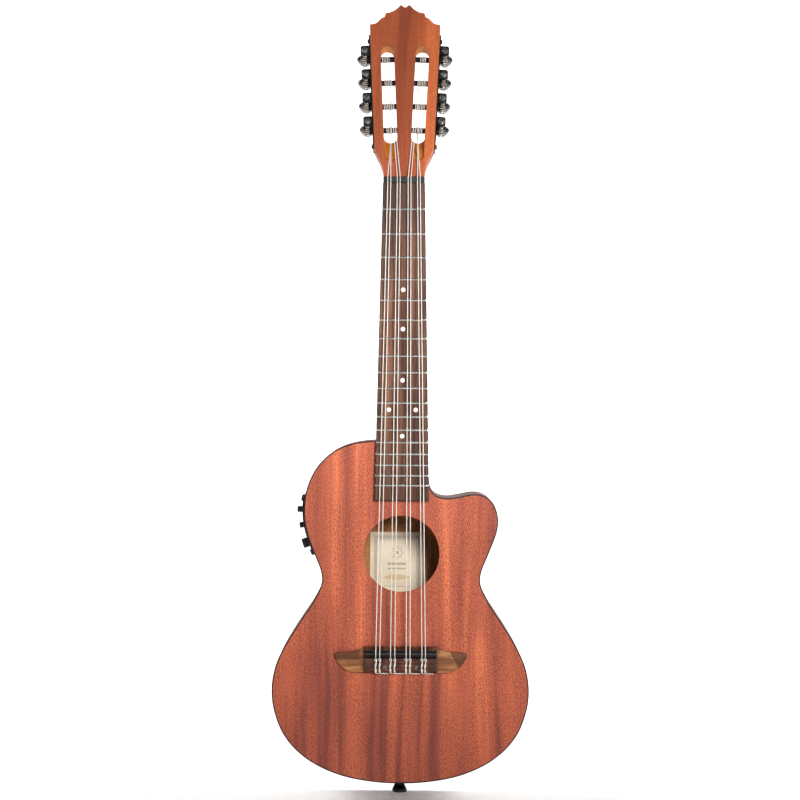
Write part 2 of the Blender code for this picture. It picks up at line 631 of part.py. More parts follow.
def spindle():
    """Worm, its plain journals and the button, round local Z pointing backwards.

    The thread is a vee ridge wound on the core.  Its crossings lie at steps of one
    lead, and the wrap joins each crossing to the next one up."""
    n = 10
    z0 = -0.5 * WORM_TURNS * WORM_LEAD
    foot = 0.55
    verts, faces = [], []
    core = circle(WORM_CORE, n)

    def ring(loop, t):
        start = len(verts)
        verts.extend((u, v, t) for u, v in loop)
        return list(range(start, start + len(loop)))

    front = ring(core, 1.6 - ROLLER_D)
    low = ring(core, 4.8 - ROLLER_D)
    faces.append(front[::-1])
    faces.extend(walls(front, low))
    columns = []
    for j in range(n):
        col = []
        for k in range(WORM_TURNS):
            turn = k + j / n
            fade = min(1.0, turn / 0.3, (WORM_TURNS - 1.0 / n - turn) / 0.3)
            zc = z0 + WORM_LEAD * turn
            a = 2.0 * math.pi * j / n
            for dz, r in ((-foot, WORM_CORE), (0.0, WORM_CORE + fade * (WORM_TIP - WORM_CORE)),
                          (foot, WORM_CORE)):
                col.append(len(verts))
                verts.append((r * math.cos(a), r * math.sin(a), zc + dz))
        columns.append(col)
    high = ring(core, 13.2 - ROLLER_D)
    for j in range(n - 1):
        a = [low[j]] + columns[j] + [high[j]]
        b = [low[j + 1]] + columns[j + 1] + [high[j + 1]]
        for p in range(len(a) - 1):
            faces.append([a[p], a[p + 1], b[p + 1], b[p]])
    left, right = columns[n - 1], columns[0]
    lo_l, lo_r, hi_l, hi_r = low[n - 1], low[0], high[n - 1], high[0]
    faces += [[lo_l, lo_r, right[0]], [lo_l, right[0], right[1]], [lo_l, right[1], right[2]]]
    a = [lo_l] + left[:3 * (WORM_TURNS - 1)] + [left[3 * (WORM_TURNS - 1)]]
    b = [right[2]] + right[3:] + [hi_r]
    for p in range(len(a) - 1):
        faces.append([a[p], a[p + 1], b[p + 1], b[p]])
    last = left[-3:]
    faces += [[last[0], last[1], hi_r], [last[1], last[2], hi_r], [last[2], hi_l, hi_r]]

    neck_end = ring(core, 18.2 - ROLLER_D)
    faces.extend(walls(high, neck_end))
    shoulder = ring(circle(3.0, n), 18.2 - ROLLER_D)
    both = shoulder + neck_end
    faces += [[both[i] for i in tri] for tri in fill([circle(3.0, n), core])]
    previous = shoulder
    # button: half thickness along the flank, half width across it, depth
    for thick, wide, d in ((3.0, 4.2, 19.0), (3.4, 7.5, 21.4), (3.8, 7.6, 24.5), (3.8, 6.7, 29.0),
                           (3.4, 5.0, 33.5), (2.4, 2.8, 36.5), (1.2, 1.0, 37.6)):
        loop = [(thick * math.cos(2 * math.pi * i / n), wide * math.sin(2 * math.pi * i / n))
                for i in range(n)]
        nxt = ring(loop, d - ROLLER_D)
        faces.extend(walls(previous, nxt))
        previous = nxt
    faces.append(previous)
    return verts, faces


spindle_verts, spindle_faces = spindle()
knob_mesh = None
roller_mesh = None
# string numbers run from the bass edge to the treble edge; the outer string of each
# side goes to the roller nearest the nut
for side, word in ((-1, "bass"), (1, "treble")):
    for k, u in enumerate(ROLLER_U):
        number = k + 1 if side < 0 else 8 - k
        # wheel frame: X outwards, Z along the flank
        turn = (0.0, 0.0, math.pi) if side < 0 else (0.0, 0.0, 0.0)
        where = (0.0, ROLLER_D, u)
        name = "tuner_roller_%d" % number
        if roller_mesh is None:
            obj = make(name, roller_verts, roller_faces, BLACK_METAL, tuner_frames[side],
                       where, turn)
            roller_mesh = obj.data
        else:
            place(bpy.data.objects.new(name, roller_mesh), tuner_frames[side], where, turn)
        # spindle frame: local Z backwards, local X along the flank
        axes = Matrix(((0, 1, 0), (0, 0, 1), (1, 0, 0)))
        name = "tuner_knob_%d" % number
        where = (side * WORM_OUT, ROLLER_D, u + WORM_UP)
        if knob_mesh is None:
            obj = make(name, spindle_verts, spindle_faces, PEARL, tuner_frames[side], where,
                       axes.to_euler())
            knob_mesh = obj.data
        else:
            place(bpy.data.objects.new(name, knob_mesh), tuner_frames[side], where,
                  axes.to_euler())

# ------------------------------------------------------------------ bridge
BLOCK_PROFILE = ((-428.2, -0.3), (-428.2, -3.2), (-430.2, -7.2), (-431.4, -8.2), (-432.6, -8.2),
                 (-432.6, -3.0), (-435.8, -3.0), (-435.8, -8.2), (-437.0, -8.2), (-438.6, -4.6),
                 (-440.6, -4.6), (-440.6, -8.0), (-450.2, -8.0), (-452.6, -3.4), (-452.6, -0.3))


def wing_ring(x, z_top, z_low, height):
    """Low section of a bridge wing, point for point like the block's section."""
    count = len(BLOCK_PROFILE)
    ring = [(x, -GAP, z_top), (x, -GAP - 0.7 * (height - GAP), z_top)]
    for i in range(2, count - 2):
        t = (i - 2) / (count - 5)
        edge = min(t, 1.0 - t)
        ring.append((x, -height + (0.12 if edge < 0.05 else 0.0),
                     z_top - 0.8 + (z_low + 0.8 - z_top + 0.8) * t))
    ring += [(x, -GAP - 0.7 * (height - GAP), z_low), (x, -GAP, z_low)]
    return ring


WINGS = ((61.2, -435.0, -437.2, 2.2), (60.2, -434.4, -439.6, 2.4), (57.5, -434.2, -443.9, 2.7),
         (53.5, -434.0, -448.1, 2.9), (48.5, -433.6, -451.2, 3.0), (43.0, -432.6, -452.4, 3.2),
         (38.0, -430.9, -452.6, 3.3), (33.55, -428.6, -452.6, 3.4))
bridge_rings = [wing_ring(-x, a, b, h) for x, a, b, h in WINGS]
for x in (-33.35, 33.35):
    bridge_rings.append([(x, y, z) for z, y in BLOCK_PROFILE])
bridge_rings += [wing_ring(x, a, b, h) for x, a, b, h in WINGS[::-1]]
bridge_verts, bridge_skin = loft(bridge_rings)
section = len(BLOCK_PROFILE)
make("bridge", bridge_verts, bridge_skin, BRIDGE_WOOD, instrument)

SADDLE_PROFILE = [(-435.5, -4.8), (-435.5, -10.3), (-434.9, -10.9), (-433.5, -10.9),
                  (-432.9, -10.3), (-432.9, -4.8)]
make("saddle", *prism([SADDLE_PROFILE], lambda z, y: (-32.7, y, z), lambda z, y: (32.7, y, z)),
     BLACK_BONE, instrument)
make("piezo_pickup", *block(-32.5, 32.5, -4.5, -3.3, -435.4, -433.0), PICKUP, instrument)

# ----------------------------------------------------------------- strings
head_matrix = (Matrix.Translation(Vector(HEAD_ORIGIN)) @ Matrix.Rotation(-HEAD_TILT, 4, 'X'))
WIND_R = 3.6
WIND_TURNS = 16 / 7
for number in range(1, 9):
    side = -1 if number < 5 else 1
    k = number - 1 if side < 0 else 8 - number
    flank = head_matrix @ Matrix.Translation(Vector((side * FLANK_X, 0.0, FLANK_S))) \
        @ Matrix.Rotation(side * SIDE_ANGLE, 4, 'Y')
    xb, xn = STRING_BRIDGE_X[number - 1], STRING_NUT_X[number - 1]
    path = [Vector((xb, -7.0, -439.8)), Vector((xb, STRING_SADDLE_Y, -435.0)),
            Vector((xb, STRING_SADDLE_Y, -433.3)), Vector((xn, STRING_NUT_Y, 0.4)),
            Vector((xn, STRING_NUT_Y, 5.0))]
    steps = 7
    for i in range(round(WIND_TURNS * steps) + 1):
        a = 2 * math.pi * i / steps
        local = Vector((-side * (SLOT_W + 0.9 - i / steps), ROLLER_D - WIND_R * math.cos(a),
                        ROLLER_U[k] + WIND_R * math.sin(a)))
        path.append(flank @ local)
    make("string_%d" % number, *tube(path, STRING_R, 5), NYLON, instrument, smooth=60.0)

# ------------------------------------------------------------------ preamp
panel = make("preamp_panel", *strip(along(bass, *PREAMP_Z, 8), -1, -1.9, -GAP, *PREAMP_Y),
             BLACK_PLASTIC, instrument)
make("preamp_case", *strip(along(bass, *CASE_Z, 8), -1, 1.5, 20.0, *CASE_Y), BLACK_PLASTIC,
     instrument)
boolean(side_bass, cutter("preamp_window", *strip(along(bass, CASE_Z[0] + 0.4, CASE_Z[1] - 0.4, 8),
                                                  -1, -0.8, SIDE_T + 2.0, CASE_Y[0] - 0.4,
                                                  CASE_Y[1] + 0.4), instrument))


def flank_frame(z, depth):
    """Empty's place on the bass rib: local Z out of the rib, local Y backwards."""
    a, b = along(bass, z + 1.0, z - 1.0, 2)[0], along(bass, z + 1.0, z - 1.0, 2)[2]
    mid = along(bass, z, z - 0.1, 1)[0]
    down = Vector((b[0] - a[0], 0.0, b[1] - a[1])).normalized()
    out = Vector((0.0, 1.0, 0.0)).cross(down)
    if out[0] > 0:
        out = -out
    back = Vector((0.0, 1.0, 0.0))
    first = back.cross(out)
    rot = Matrix((first, back, out)).transposed().to_euler()
    return (mid[0], depth, mid[1]), rot


for name, z, radius, length in (("treble_knob", -303.0, 2.9, 4.6), ("bass_knob", -317.1, 2.8, 3.8),
                                ("volume_knob", -332.7, 4.6, 5.6)):
    where, rot = flank_frame(z, KNOB_Y)
    boolean(panel, cutter(name + "_hole", *stack([(circle(2.1, 10), -1.0), (circle(2.1, 10), 4.0)],
                                                 lambda u, v, t: (u, v, t)), instrument, where, rot))
    stem, cap, rim = circle(1.7, 10), circle(radius, 16), circle(radius * 0.88, 16)
    make(name, *stack([(stem, -0.6), (stem, 2.3), (cap, 2.3), (cap, 1.9 + length),
                       (rim, 2.3 + length)], lambda u, v, t: (u, v, t)), BLACK_PLASTIC,
         instrument, where, rot)

where, rot = flank_frame(-317.1, KEY_Y)
boolean(panel, cutter("key_hole", *stack([([(-4.0, -2.4), (4.0, -2.4), (4.0, 2.4), (-4.0, 2.4)], -1.5),
                                          ([(-4.0, -2.4), (4.0, -2.4), (4.0, 2.4), (-4.0, 2.4)], 4.0)],
                                         lambda u, v, t: (u, v, t)), instrument, where, rot))
key = [(-3.6, -2.0), (3.6, -2.0), (3.6, 2.0), (-3.6, 2.0)]
make("tuner_key", *stack([(key, -0.2), (key, 2.9)], lambda u, v, t: (u, v, t)), BLACK_PLASTIC,
     instrument, where, rot)
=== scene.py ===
"""Looks of the eight-string, four-course flat-topped short-neck lute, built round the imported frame.

Shapes are drawn in the design frame in millimetres (x to the treble side, y from the soundboard
backwards, z along the neck, z = 0 at the nut) and placed in the frame's metres by SHIFT.
"""

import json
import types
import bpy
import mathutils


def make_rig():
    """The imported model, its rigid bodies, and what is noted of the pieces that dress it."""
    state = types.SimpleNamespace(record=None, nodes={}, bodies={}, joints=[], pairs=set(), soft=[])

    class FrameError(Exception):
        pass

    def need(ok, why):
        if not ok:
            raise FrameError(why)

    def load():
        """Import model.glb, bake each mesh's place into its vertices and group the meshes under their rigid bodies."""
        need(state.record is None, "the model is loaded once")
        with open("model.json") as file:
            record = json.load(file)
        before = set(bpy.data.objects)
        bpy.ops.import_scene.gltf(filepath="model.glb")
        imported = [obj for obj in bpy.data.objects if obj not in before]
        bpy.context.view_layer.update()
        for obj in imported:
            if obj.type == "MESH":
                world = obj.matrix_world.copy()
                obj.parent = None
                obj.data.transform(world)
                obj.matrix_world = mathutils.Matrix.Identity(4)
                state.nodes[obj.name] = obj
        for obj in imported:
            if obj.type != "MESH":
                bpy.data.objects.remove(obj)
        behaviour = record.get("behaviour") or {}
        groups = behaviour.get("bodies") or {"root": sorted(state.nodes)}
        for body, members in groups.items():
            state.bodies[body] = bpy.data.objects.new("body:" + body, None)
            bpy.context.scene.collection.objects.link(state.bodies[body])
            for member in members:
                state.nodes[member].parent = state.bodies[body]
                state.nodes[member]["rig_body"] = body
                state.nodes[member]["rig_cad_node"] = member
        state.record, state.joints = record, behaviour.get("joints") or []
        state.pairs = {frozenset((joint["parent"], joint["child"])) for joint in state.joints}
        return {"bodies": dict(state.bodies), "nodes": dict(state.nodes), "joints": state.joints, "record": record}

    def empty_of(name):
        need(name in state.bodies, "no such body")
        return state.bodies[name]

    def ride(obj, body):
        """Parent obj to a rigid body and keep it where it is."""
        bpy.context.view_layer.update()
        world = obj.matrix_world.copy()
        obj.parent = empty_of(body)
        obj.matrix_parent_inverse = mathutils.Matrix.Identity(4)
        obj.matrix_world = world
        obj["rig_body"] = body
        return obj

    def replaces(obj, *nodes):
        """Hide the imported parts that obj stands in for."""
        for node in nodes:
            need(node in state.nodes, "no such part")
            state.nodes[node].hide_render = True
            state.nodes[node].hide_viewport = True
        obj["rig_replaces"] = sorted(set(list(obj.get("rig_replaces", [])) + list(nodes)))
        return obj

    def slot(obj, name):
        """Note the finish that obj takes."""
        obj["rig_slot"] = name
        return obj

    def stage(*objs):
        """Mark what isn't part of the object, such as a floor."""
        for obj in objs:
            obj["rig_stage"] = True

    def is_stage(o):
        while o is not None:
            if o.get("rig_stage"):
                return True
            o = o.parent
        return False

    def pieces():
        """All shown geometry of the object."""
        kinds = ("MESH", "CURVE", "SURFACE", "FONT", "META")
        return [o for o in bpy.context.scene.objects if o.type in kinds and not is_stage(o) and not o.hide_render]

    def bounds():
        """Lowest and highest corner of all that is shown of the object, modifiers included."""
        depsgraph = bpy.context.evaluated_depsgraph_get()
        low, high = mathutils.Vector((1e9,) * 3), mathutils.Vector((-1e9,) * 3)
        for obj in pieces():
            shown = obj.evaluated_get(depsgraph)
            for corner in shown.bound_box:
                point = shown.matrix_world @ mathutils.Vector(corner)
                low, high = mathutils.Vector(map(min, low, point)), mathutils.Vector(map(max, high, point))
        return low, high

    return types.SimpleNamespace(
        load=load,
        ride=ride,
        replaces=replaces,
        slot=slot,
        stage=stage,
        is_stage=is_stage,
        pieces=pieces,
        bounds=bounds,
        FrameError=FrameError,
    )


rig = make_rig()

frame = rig.load()

import json
import math

import bmesh
import bpy
from mathutils import Matrix, Vector, kdtree
from mathutils.geometry import delaunay_2d_cdt

cad_low, cad_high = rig.bounds()

MM = 0.001
SHIFT = Vector((0.0, -4.5, 20.0))
ROOT = "instrument"

# ------------------------------------------------------------------ dimensions
SCALE_LENGTH = 432.0
FRET_COUNT = 18
BODY_TOP = -238.0
SOUNDBOARD_T = 2.2
SIDE_T = 2.0
BACK_T = 2.5
BODY_DEPTH = 69.8
BACK_Y0 = BODY_DEPTH - BACK_T
BINDING_W = 1.2
HOLE_Z = -342.8
HOLE_R = 35.2
NUT_LENGTH = 5.2
NUT_HALF = 19.1
BOARD_HALF_NUT = 19.4
BOARD_HALF_END = 25.25
BOARD_END = -293.6
BOARD_FACE = -5.3
FRET_H = 1.0
STRING_R = 0.42
STRING_NUT_Y = -7.15
STRING_SADDLE_Y = -11.62
STRING_NUT_X = (-15.0, -12.2, -6.2, -3.5, 3.8, 6.4, 12.4, 14.9)
STRING_BRIDGE_X = (-22.8, -19.1, -9.2, -5.3, 5.2, 8.8, 19.7, 22.9)
HEAD_TILT = math.radians(15.0)
HEAD_ORIGIN = (0.0, -3.0, 5.2)
HEAD_T = 17.0
VENEER_T = 1.6
HEAD_START = 1.0
SIDE_ANGLE = math.atan(0.0455)
FLANK_X = 27.7
FLANK_S = 29.0
ROLLER_U = (20.0, 43.7, 67.4, 91.2)
ROLLER_D = 9.0
ROLLER_R = 2.7
SLOT_W = 15.55
SLOT_HALF = 6.3
SLOT_RAMP = -13.8
SLOT_THROUGH = 10.9
SLOT_END = 101.9
WORM_OUT = 5.6
WORM_UP = 7.5
GEAR_TEETH = 14
GEAR_TIP = 5.2
GEAR_ROOT = 3.9
WORM_LEAD = 2.0 * math.pi * 4.9 / GEAR_TEETH
WORM_CORE = 1.9
WORM_TIP = 2.9
WORM_TURNS = 3
JACK_Y = 35.0
PREAMP_Z = (-289.4, -344.8)
PREAMP_Y = (11.0, 49.0)
KNOB_Y = 22.0
KEY_Y = 38.0
BASS_UPPER = ((0, -238.0), (20, -238.0), (36, -239.2), (50, -242.2), (62, -247.6),
              (72, -255.6), (80, -265.4), (85.8, -277), (89.4, -290), (90.4, -305),
              (88.6, -320), (84.2, -334), (78.6, -348), (74.2, -359.5), (73.2, -368))
TREBLE_UPPER = ((0, -238.0), (17, -238.0), (21.6, -239.6), (23.6, -244), (24.2, -256),
                (24.8, -268), (25.6, -277.5), (27.6, -284), (31.7, -288.3),
                (37.3, -290.4), (43.5, -291.0), (51, -290.0), (59.5, -288.2),
                (67.5, -287.1), (74.5, -288.0), (80.2, -290.8), (84.6, -295.2),
                (87.8, -302), (89.6, -311), (88.4, -322), (84.0, -334.6),
                (78.6, -348), (74.2, -359.5), (73.2, -368))
LOWER = ((75.6, -376.5), (82.2, -389.2), (92.0, -404), (101.5, -418.8), (110.0, -433.8),
         (116.0, -448.4), (118.9, -465), (118.4, -480), (115.2, -494), (108.6, -509.5),
         (97.5, -523.8), (80.6, -536.9), (56, -547.8), (28, -553.6), (0, -555.3))


# ------------------------------------------------------------------- curves
def spline(points, steps, lead_in=None, lead_out=None):
    """Centripetal Catmull-Rom curve through points, steps per span."""
    pts = [Vector(p) for p in points]
    first = Vector(lead_in) if lead_in else 2 * pts[0] - pts[1]
    last = Vector(lead_out) if lead_out else 2 * pts[-1] - pts[-2]
    pts = [first] + pts + [last]
    out = []
    for i in range(1, len(pts) - 2):
        p0, p1, p2, p3 = pts[i - 1:i + 3]
        t0 = 0.0
        t1 = t0 + math.sqrt((p1 - p0).length)
        t2 = t1 + math.sqrt((p2 - p1).length)
        t3 = t2 + math.sqrt((p3 - p2).length)
        for k in range(steps):
            t = t1 + (t2 - t1) * k / steps
            a1 = p0 * ((t1 - t) / (t1 - t0)) + p1 * ((t - t0) / (t1 - t0))
            a2 = p1 * ((t2 - t) / (t2 - t1)) + p2 * ((t - t1) / (t2 - t1))
            a3 = p2 * ((t3 - t) / (t3 - t2)) + p3 * ((t - t2) / (t3 - t2))
            b1 = a1 * ((t2 - t) / (t2 - t0)) + a2 * ((t - t0) / (t2 - t0))
            b2 = a2 * ((t3 - t) / (t3 - t1)) + a3 * ((t - t1) / (t3 - t1))
            out.append(b1 * ((t2 - t) / (t2 - t1)) + b2 * ((t - t1) / (t2 - t1)))
    out.append(pts[-2])
    return [tuple(p) for p in out]


def body_half(side, steps):
    upper = BASS_UPPER if side < 0 else TREBLE_UPPER
    stations = [(side * x, z) for x, z in upper + LOWER]
    return spline(stations, steps, (-stations[1][0], stations[1][1]),
                  (-stations[-2][0], stations[-2][1]))


def offset(points, distance, closed=False):
    """Moves a polyline sideways; positive is to the left of its direction."""
    n = len(points)
    out = []
    for i in range(n):
        a = Vector(points[i - 1] if closed or i else points[0])
        b = Vector(points[i])
        c = Vector(points[(i + 1) % n] if closed or i < n - 1 else points[-1])
        d1 = (b - a).normalized() if (b - a).length > 1e-9 else (c - b).normalized()
        d2 = (c - b).normalized() if (c - b).length > 1e-9 else d1
        n1 = Vector((-d1[1], d1[0]))
        n2 = Vector((-d2[1], d2[0]))
        m = (n1 + n2).normalized()
        out.append(tuple(b + m * (distance / max(0.5, m.dot(n1)))))
    return out


def area(loop):
    return 0.5 * sum(loop[i - 1][0] * loop[i][1] - loop[i][0] * loop[i - 1][1]
                     for i in range(len(loop)))


def inset(loop, distance, hole=False):
    """Moves a closed loop into the material it bounds."""
    if abs(distance) < 1e-9:
        return list(loop)
    sign = 1.0 if area(loop) > 0 else -1.0
    return offset(loop, distance * sign * (-1.0 if hole else 1.0), closed=True)


def circle(radius, count, cx=0.0, cy=0.0, phase=0.0):
    return [(cx + radius * math.cos(phase + 2 * math.pi * i / count),
             cy + radius * math.sin(phase + 2 * math.pi * i / count))
            for i in range(count)]


def round_rect(x0, x1, y0, y1, r, seg=6):
    out = []
    for cx, cy, a0 in ((x1 - r, y1 - r, 0.0), (x0 + r, y1 - r, 90.0), (x0 + r, y0 + r, 180.0),
                       (x1 - r, y0 + r, 270.0)):
        for k in range(seg + 1):
            a = math.radians(a0 + 90.0 * k / seg)
            out.append((cx + r * math.cos(a), cy + r * math.sin(a)))
    return out


def within(point, loop):
    x, y = point
    hit = False
    x0, y0 = loop[-1]
    for x1, y1 in loop:
        if (y0 > y) != (y1 > y) and x < (x1 - x0) * (y - y0) / (y1 - y0) + x0:
            hit = not hit
        x0, y0 = x1, y1
    return hit


def fill(loops):
    """Triangles of an outline with holes, as indices into the joined loops."""
    pts = [Vector(p) for loop in loops for p in loop]
    edges = []
    base = 0
    for loop in loops:
        n = len(loop)
        edges += [(base + i, base + (i + 1) % n) for i in range(n)]
        base += n
    co, _, faces, orig, _, _ = delaunay_2d_cdt(pts, edges, [], 1, 1e-7)
    tris = []
    for face in faces:
        mid = sum((co[i] for i in face), Vector((0.0, 0.0))) / len(face)
        if within(mid, loops[0]) and not any(within(mid, h) for h in loops[1:]):
            tris.append([orig[i][0] for i in face])
    return tris


def walls(a, b):
    n = len(a)
    return [[a[i], a[(i + 1) % n], b[(i + 1) % n], b[i]] for i in range(n)]


def rounded(loops, t0, t1, put, r0=0.4, r1=0.4, seg=3, mids=()):
    """Solid of an outline with holes between two heights, its edges rounded.

    loops is a list, or a function of the height that gives one. r0 and r1 may be a
    list with one radius per loop. Radii shrink where an outline is too tight for them."""
    for share in (1.0, 0.7, 0.45, 0.25, 0.0):
        try:
            return eased(loops, t0, t1, put, [r0, r1], share, seg, mids)
        except IndexError:
            continue
    raise ValueError("outline crosses itself")


def eased(loops, t0, t1, put, radii, share, seg, mids):
    at = loops if callable(loops) else (lambda t: loops)
    count = len(at(t0))
    ra, rb = [[share * v for v in (r if isinstance(r, (list, tuple)) else [r] * count)] for r in radii]
    s = 1.0 if t1 > t0 else -1.0
    rings = []
    for radii, t, turn, order in ((ra, t0, s, range(seg + 1)), (rb, t1, -s, range(seg, -1, -1))):
        if max(radii) < 1e-6:
            rings.append(([0.0] * count, [t] * count))
            continue
        for k in order:
            a = 0.5 * math.pi * k / seg
            rings.append(([r * (1.0 - math.sin(a)) for r in radii],
                          [t + turn * r * (1.0 - math.cos(a)) for r in radii]))
        if turn == s:
            for m in mids:
                rings.append(([0.0] * count, [m] * count))
    verts, faces, index = [], [], []
    for insets, ts in rings:
        here = []
        for j in range(count):
            loop = inset(at(ts[j])[j], insets[j], j > 0)
            here.append(list(range(len(verts), len(verts) + len(loop))))
            verts += [put(u, v, ts[j]) for u, v in loop]
        index.append(here)
    for which, (insets, ts) in ((0, rings[0]), (-1, rings[-1])):
        flat = [i for loop in index[which] for i in loop]
        shapes = [inset(at(ts[j])[j], insets[j], j > 0) for j in range(count)]
        faces += [[flat[i] for i in tri] for tri in fill(shapes)]
    for a, b in zip(index, index[1:]):
        for j in range(count):
            faces += walls(a[j], b[j])
    return verts, faces


def loft(rings, caps=True):
    verts = [p for ring in rings for p in ring]
    n = len(rings[0])
    faces = [list(range(n))[::-1], list(range(len(verts) - n, len(verts)))] if caps else []
    for k in range(len(rings) - 1):
        faces += walls(list(range(k * n, k * n + n)), list(range(k * n + n, k * n + 2 * n)))
    return verts, faces


def turned(profile, count, put, closed=False, wobble=None):
    """Solid of revolution of (r, t) points; an open profile gets flat or pointed ends."""
    verts, faces, rings = [], [], []
    for r, t in profile:
        if r < 1e-6:
            rings.append([len(verts)])
            verts.append(put(0.0, 0.0, t))
            continue
        rings.append(list(range(len(verts), len(verts) + count)))
        for i in range(count):
            a = 2 * math.pi * i / count
            rr = r + (wobble(r, t, a) if wobble else 0.0)
            verts.append(put(rr * math.cos(a), rr * math.sin(a), t))
    pairs = list(zip(rings, rings[1:])) + ([(rings[-1], rings[0])] if closed else [])
    for a, b in pairs:
        if len(a) == 1 and len(b) == 1:
            continue
        if len(a) == 1:
            faces += [[a[0], b[(i + 1) % count], b[i]] for i in range(count)]
        elif len(b) == 1:
            faces += [[a[i], a[(i + 1) % count], b[0]] for i in range(count)]
        else:
            faces += walls(a, b)
    if not closed:
        if len(rings[0]) > 1:
            faces.append(rings[0][::-1])
        if len(rings[-1]) > 1:
            faces.append(rings[-1])
    return verts, faces


def soften(profile, r=0.2, seg=2):
    """Rounds the corners of an open (r, t) profile."""
    out = [profile[0]]
    for i in range(1, len(profile) - 1):
        a, b, c = (Vector(profile[i - 1]), Vector(profile[i]), Vector(profile[i + 1]))
        d1, d2 = (a - b), (c - b)
        cut = min(r, 0.45 * d1.length, 0.45 * d2.length)
        if cut < 1e-4 or abs(d1.normalized().dot(d2.normalized())) > 0.995:
            out.append(profile[i])
            continue
        p, q = b + d1.normalized() * cut, b + d2.normalized() * cut
        for k in range(seg + 1):
            t = k / seg
            out.append(tuple((1 - t) ** 2 * p + 2 * t * (1 - t) * b + t * t * q))
    out.append(profile[-1])
    return out


def tube(path, radius, sides, ends=True):
    """Round bar along a path, its ends domed. radius may be a function of the point number."""
    pts = [Vector(p) for p in path]
    clean = [pts[0]]
    for p in pts[1:]:
        if (p - clean[-1]).length > 0.03:
            clean.append(p)
    pts = clean
    size = radius if callable(radius) else (lambda i: radius)
    rings, ref = [], None
    stations = []
    for i, p in enumerate(pts):
        d = (pts[min(i + 1, len(pts) - 1)] - pts[max(i - 1, 0)]).normalized()
        stations.append((p, d, size(i)))
    if ends:
        p, d, r = stations[0]
        stations = [(p - d * r * math.sin(a), d, r * max(0.15, math.cos(a)))
                    for a in (1.35, 0.9, 0.45)] + stations
        p, d, r = stations[-1]
        stations += [(p + d * r * math.sin(a), d, r * max(0.15, math.cos(a)))
                     for a in (0.45, 0.9, 1.35)]
    for p, d, r in stations:
        if ref is None:
            ref = d.orthogonal().normalized()
        ref = (ref - d * ref.dot(d)).normalized()
        other = d.cross(ref)
        rings.append([tuple(p + r * (ref * math.cos(2 * math.pi * k / sides)
                                     + other * math.sin(2 * math.pi * k / sides)))
                      for k in range(sides)])
    return loft(rings)


def join(*parts):
    verts, faces = [], []
    for v, f in parts:
        faces += [[i + len(verts) for i in face] for face in f]
        verts += list(v)
    return verts, faces


def flat_xz(x, z, t):
    return (x, t, z)


def box_mm(x0, x1, y0, y1, z0, z1, r=0.3, seg=2):
    return rounded([[(x0, z0), (x1, z0), (x1, z1), (x0, z1)]], y0, y1, flat_xz, r, r, seg)


# ------------------------------------------------------------------- frames
HEAD = (Matrix.Translation(Vector(HEAD_ORIGIN)) @ Matrix.Rotation(-HEAD_TILT, 4, 'X'))
FLANK = {side: HEAD @ Matrix.Translation(Vector((side * FLANK_X, 0.0, FLANK_S)))
         @ Matrix.Rotation(side * SIDE_ANGLE, 4, 'Y') for side in (-1, 1)}


# ------------------------------------------------------------------- meshes
PIECES = {}


def straight(p):
    """Grain coordinates of wood cut along the neck: across, through, along (mm)."""
    return p


def grain(obj, rule):
    mesh = obj.data
    old = mesh.attributes.get("grain")
    if old:
        mesh.attributes.remove(old)
    att = mesh.attributes.new("grain", 'FLOAT_VECTOR', 'POINT')
    flat = []
    for v in mesh.vertices:
        design = v.co / MM - SHIFT
        flat.extend(rule(design))
    att.data.foreach_set("vector", flat)


def emit(name, shape, mat, body=ROOT, nodes=(), slot=None, where=None, smooth=35.0,
         weighted=True, rule=straight, pick=None):
    verts, faces = shape
    mats = mat if isinstance(mat, (list, tuple)) else [mat]
    label = name + "_fine"
    bm = bmesh.new()
    placed = [(where @ Vector(v)) if where is not None else Vector(v) for v in verts]
    bv = [bm.verts.new((p + SHIFT) * MM) for p in placed]
    for f in faces:
        if len(set(f)) > 2:
            try:
                bm.faces.new([bv[i] for i in f])
            except ValueError:
                pass
    bmesh.ops.recalc_face_normals(bm, faces=bm.faces)
    mesh = bpy.data.meshes.new(label)
    bm.to_mesh(mesh)
    bm.free()
    obj = bpy.data.objects.new(label, mesh)
    bpy.context.scene.collection.objects.link(obj)
    for m in mats:
        mesh.materials.append(m)
    if pick:
        for poly in mesh.polygons:
            poly.material_index = pick(poly.center / MM - SHIFT, poly.normal)
    PIECES[label] = (obj, rule, smooth, weighted)
    dress(obj, rule, smooth, weighted)
    if body:
        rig.ride(obj, body)
    if nodes:
        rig.replaces(obj, *nodes)
    if slot:
        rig.slot(obj, slot)
    return obj


def dress(obj, rule, smooth, weighted):
    grain(obj, rule)
    if smooth:
        obj.data.shade_smooth()
        obj.data.set_sharp_from_angle(angle=math.radians(smooth))
    if weighted and not any(m.type == 'WEIGHTED_NORMAL' for m in obj.modifiers):
        mod = obj.modifiers.new("flat_faces", 'WEIGHTED_NORMAL')
        mod.keep_sharp = True
        mod.weight = 60


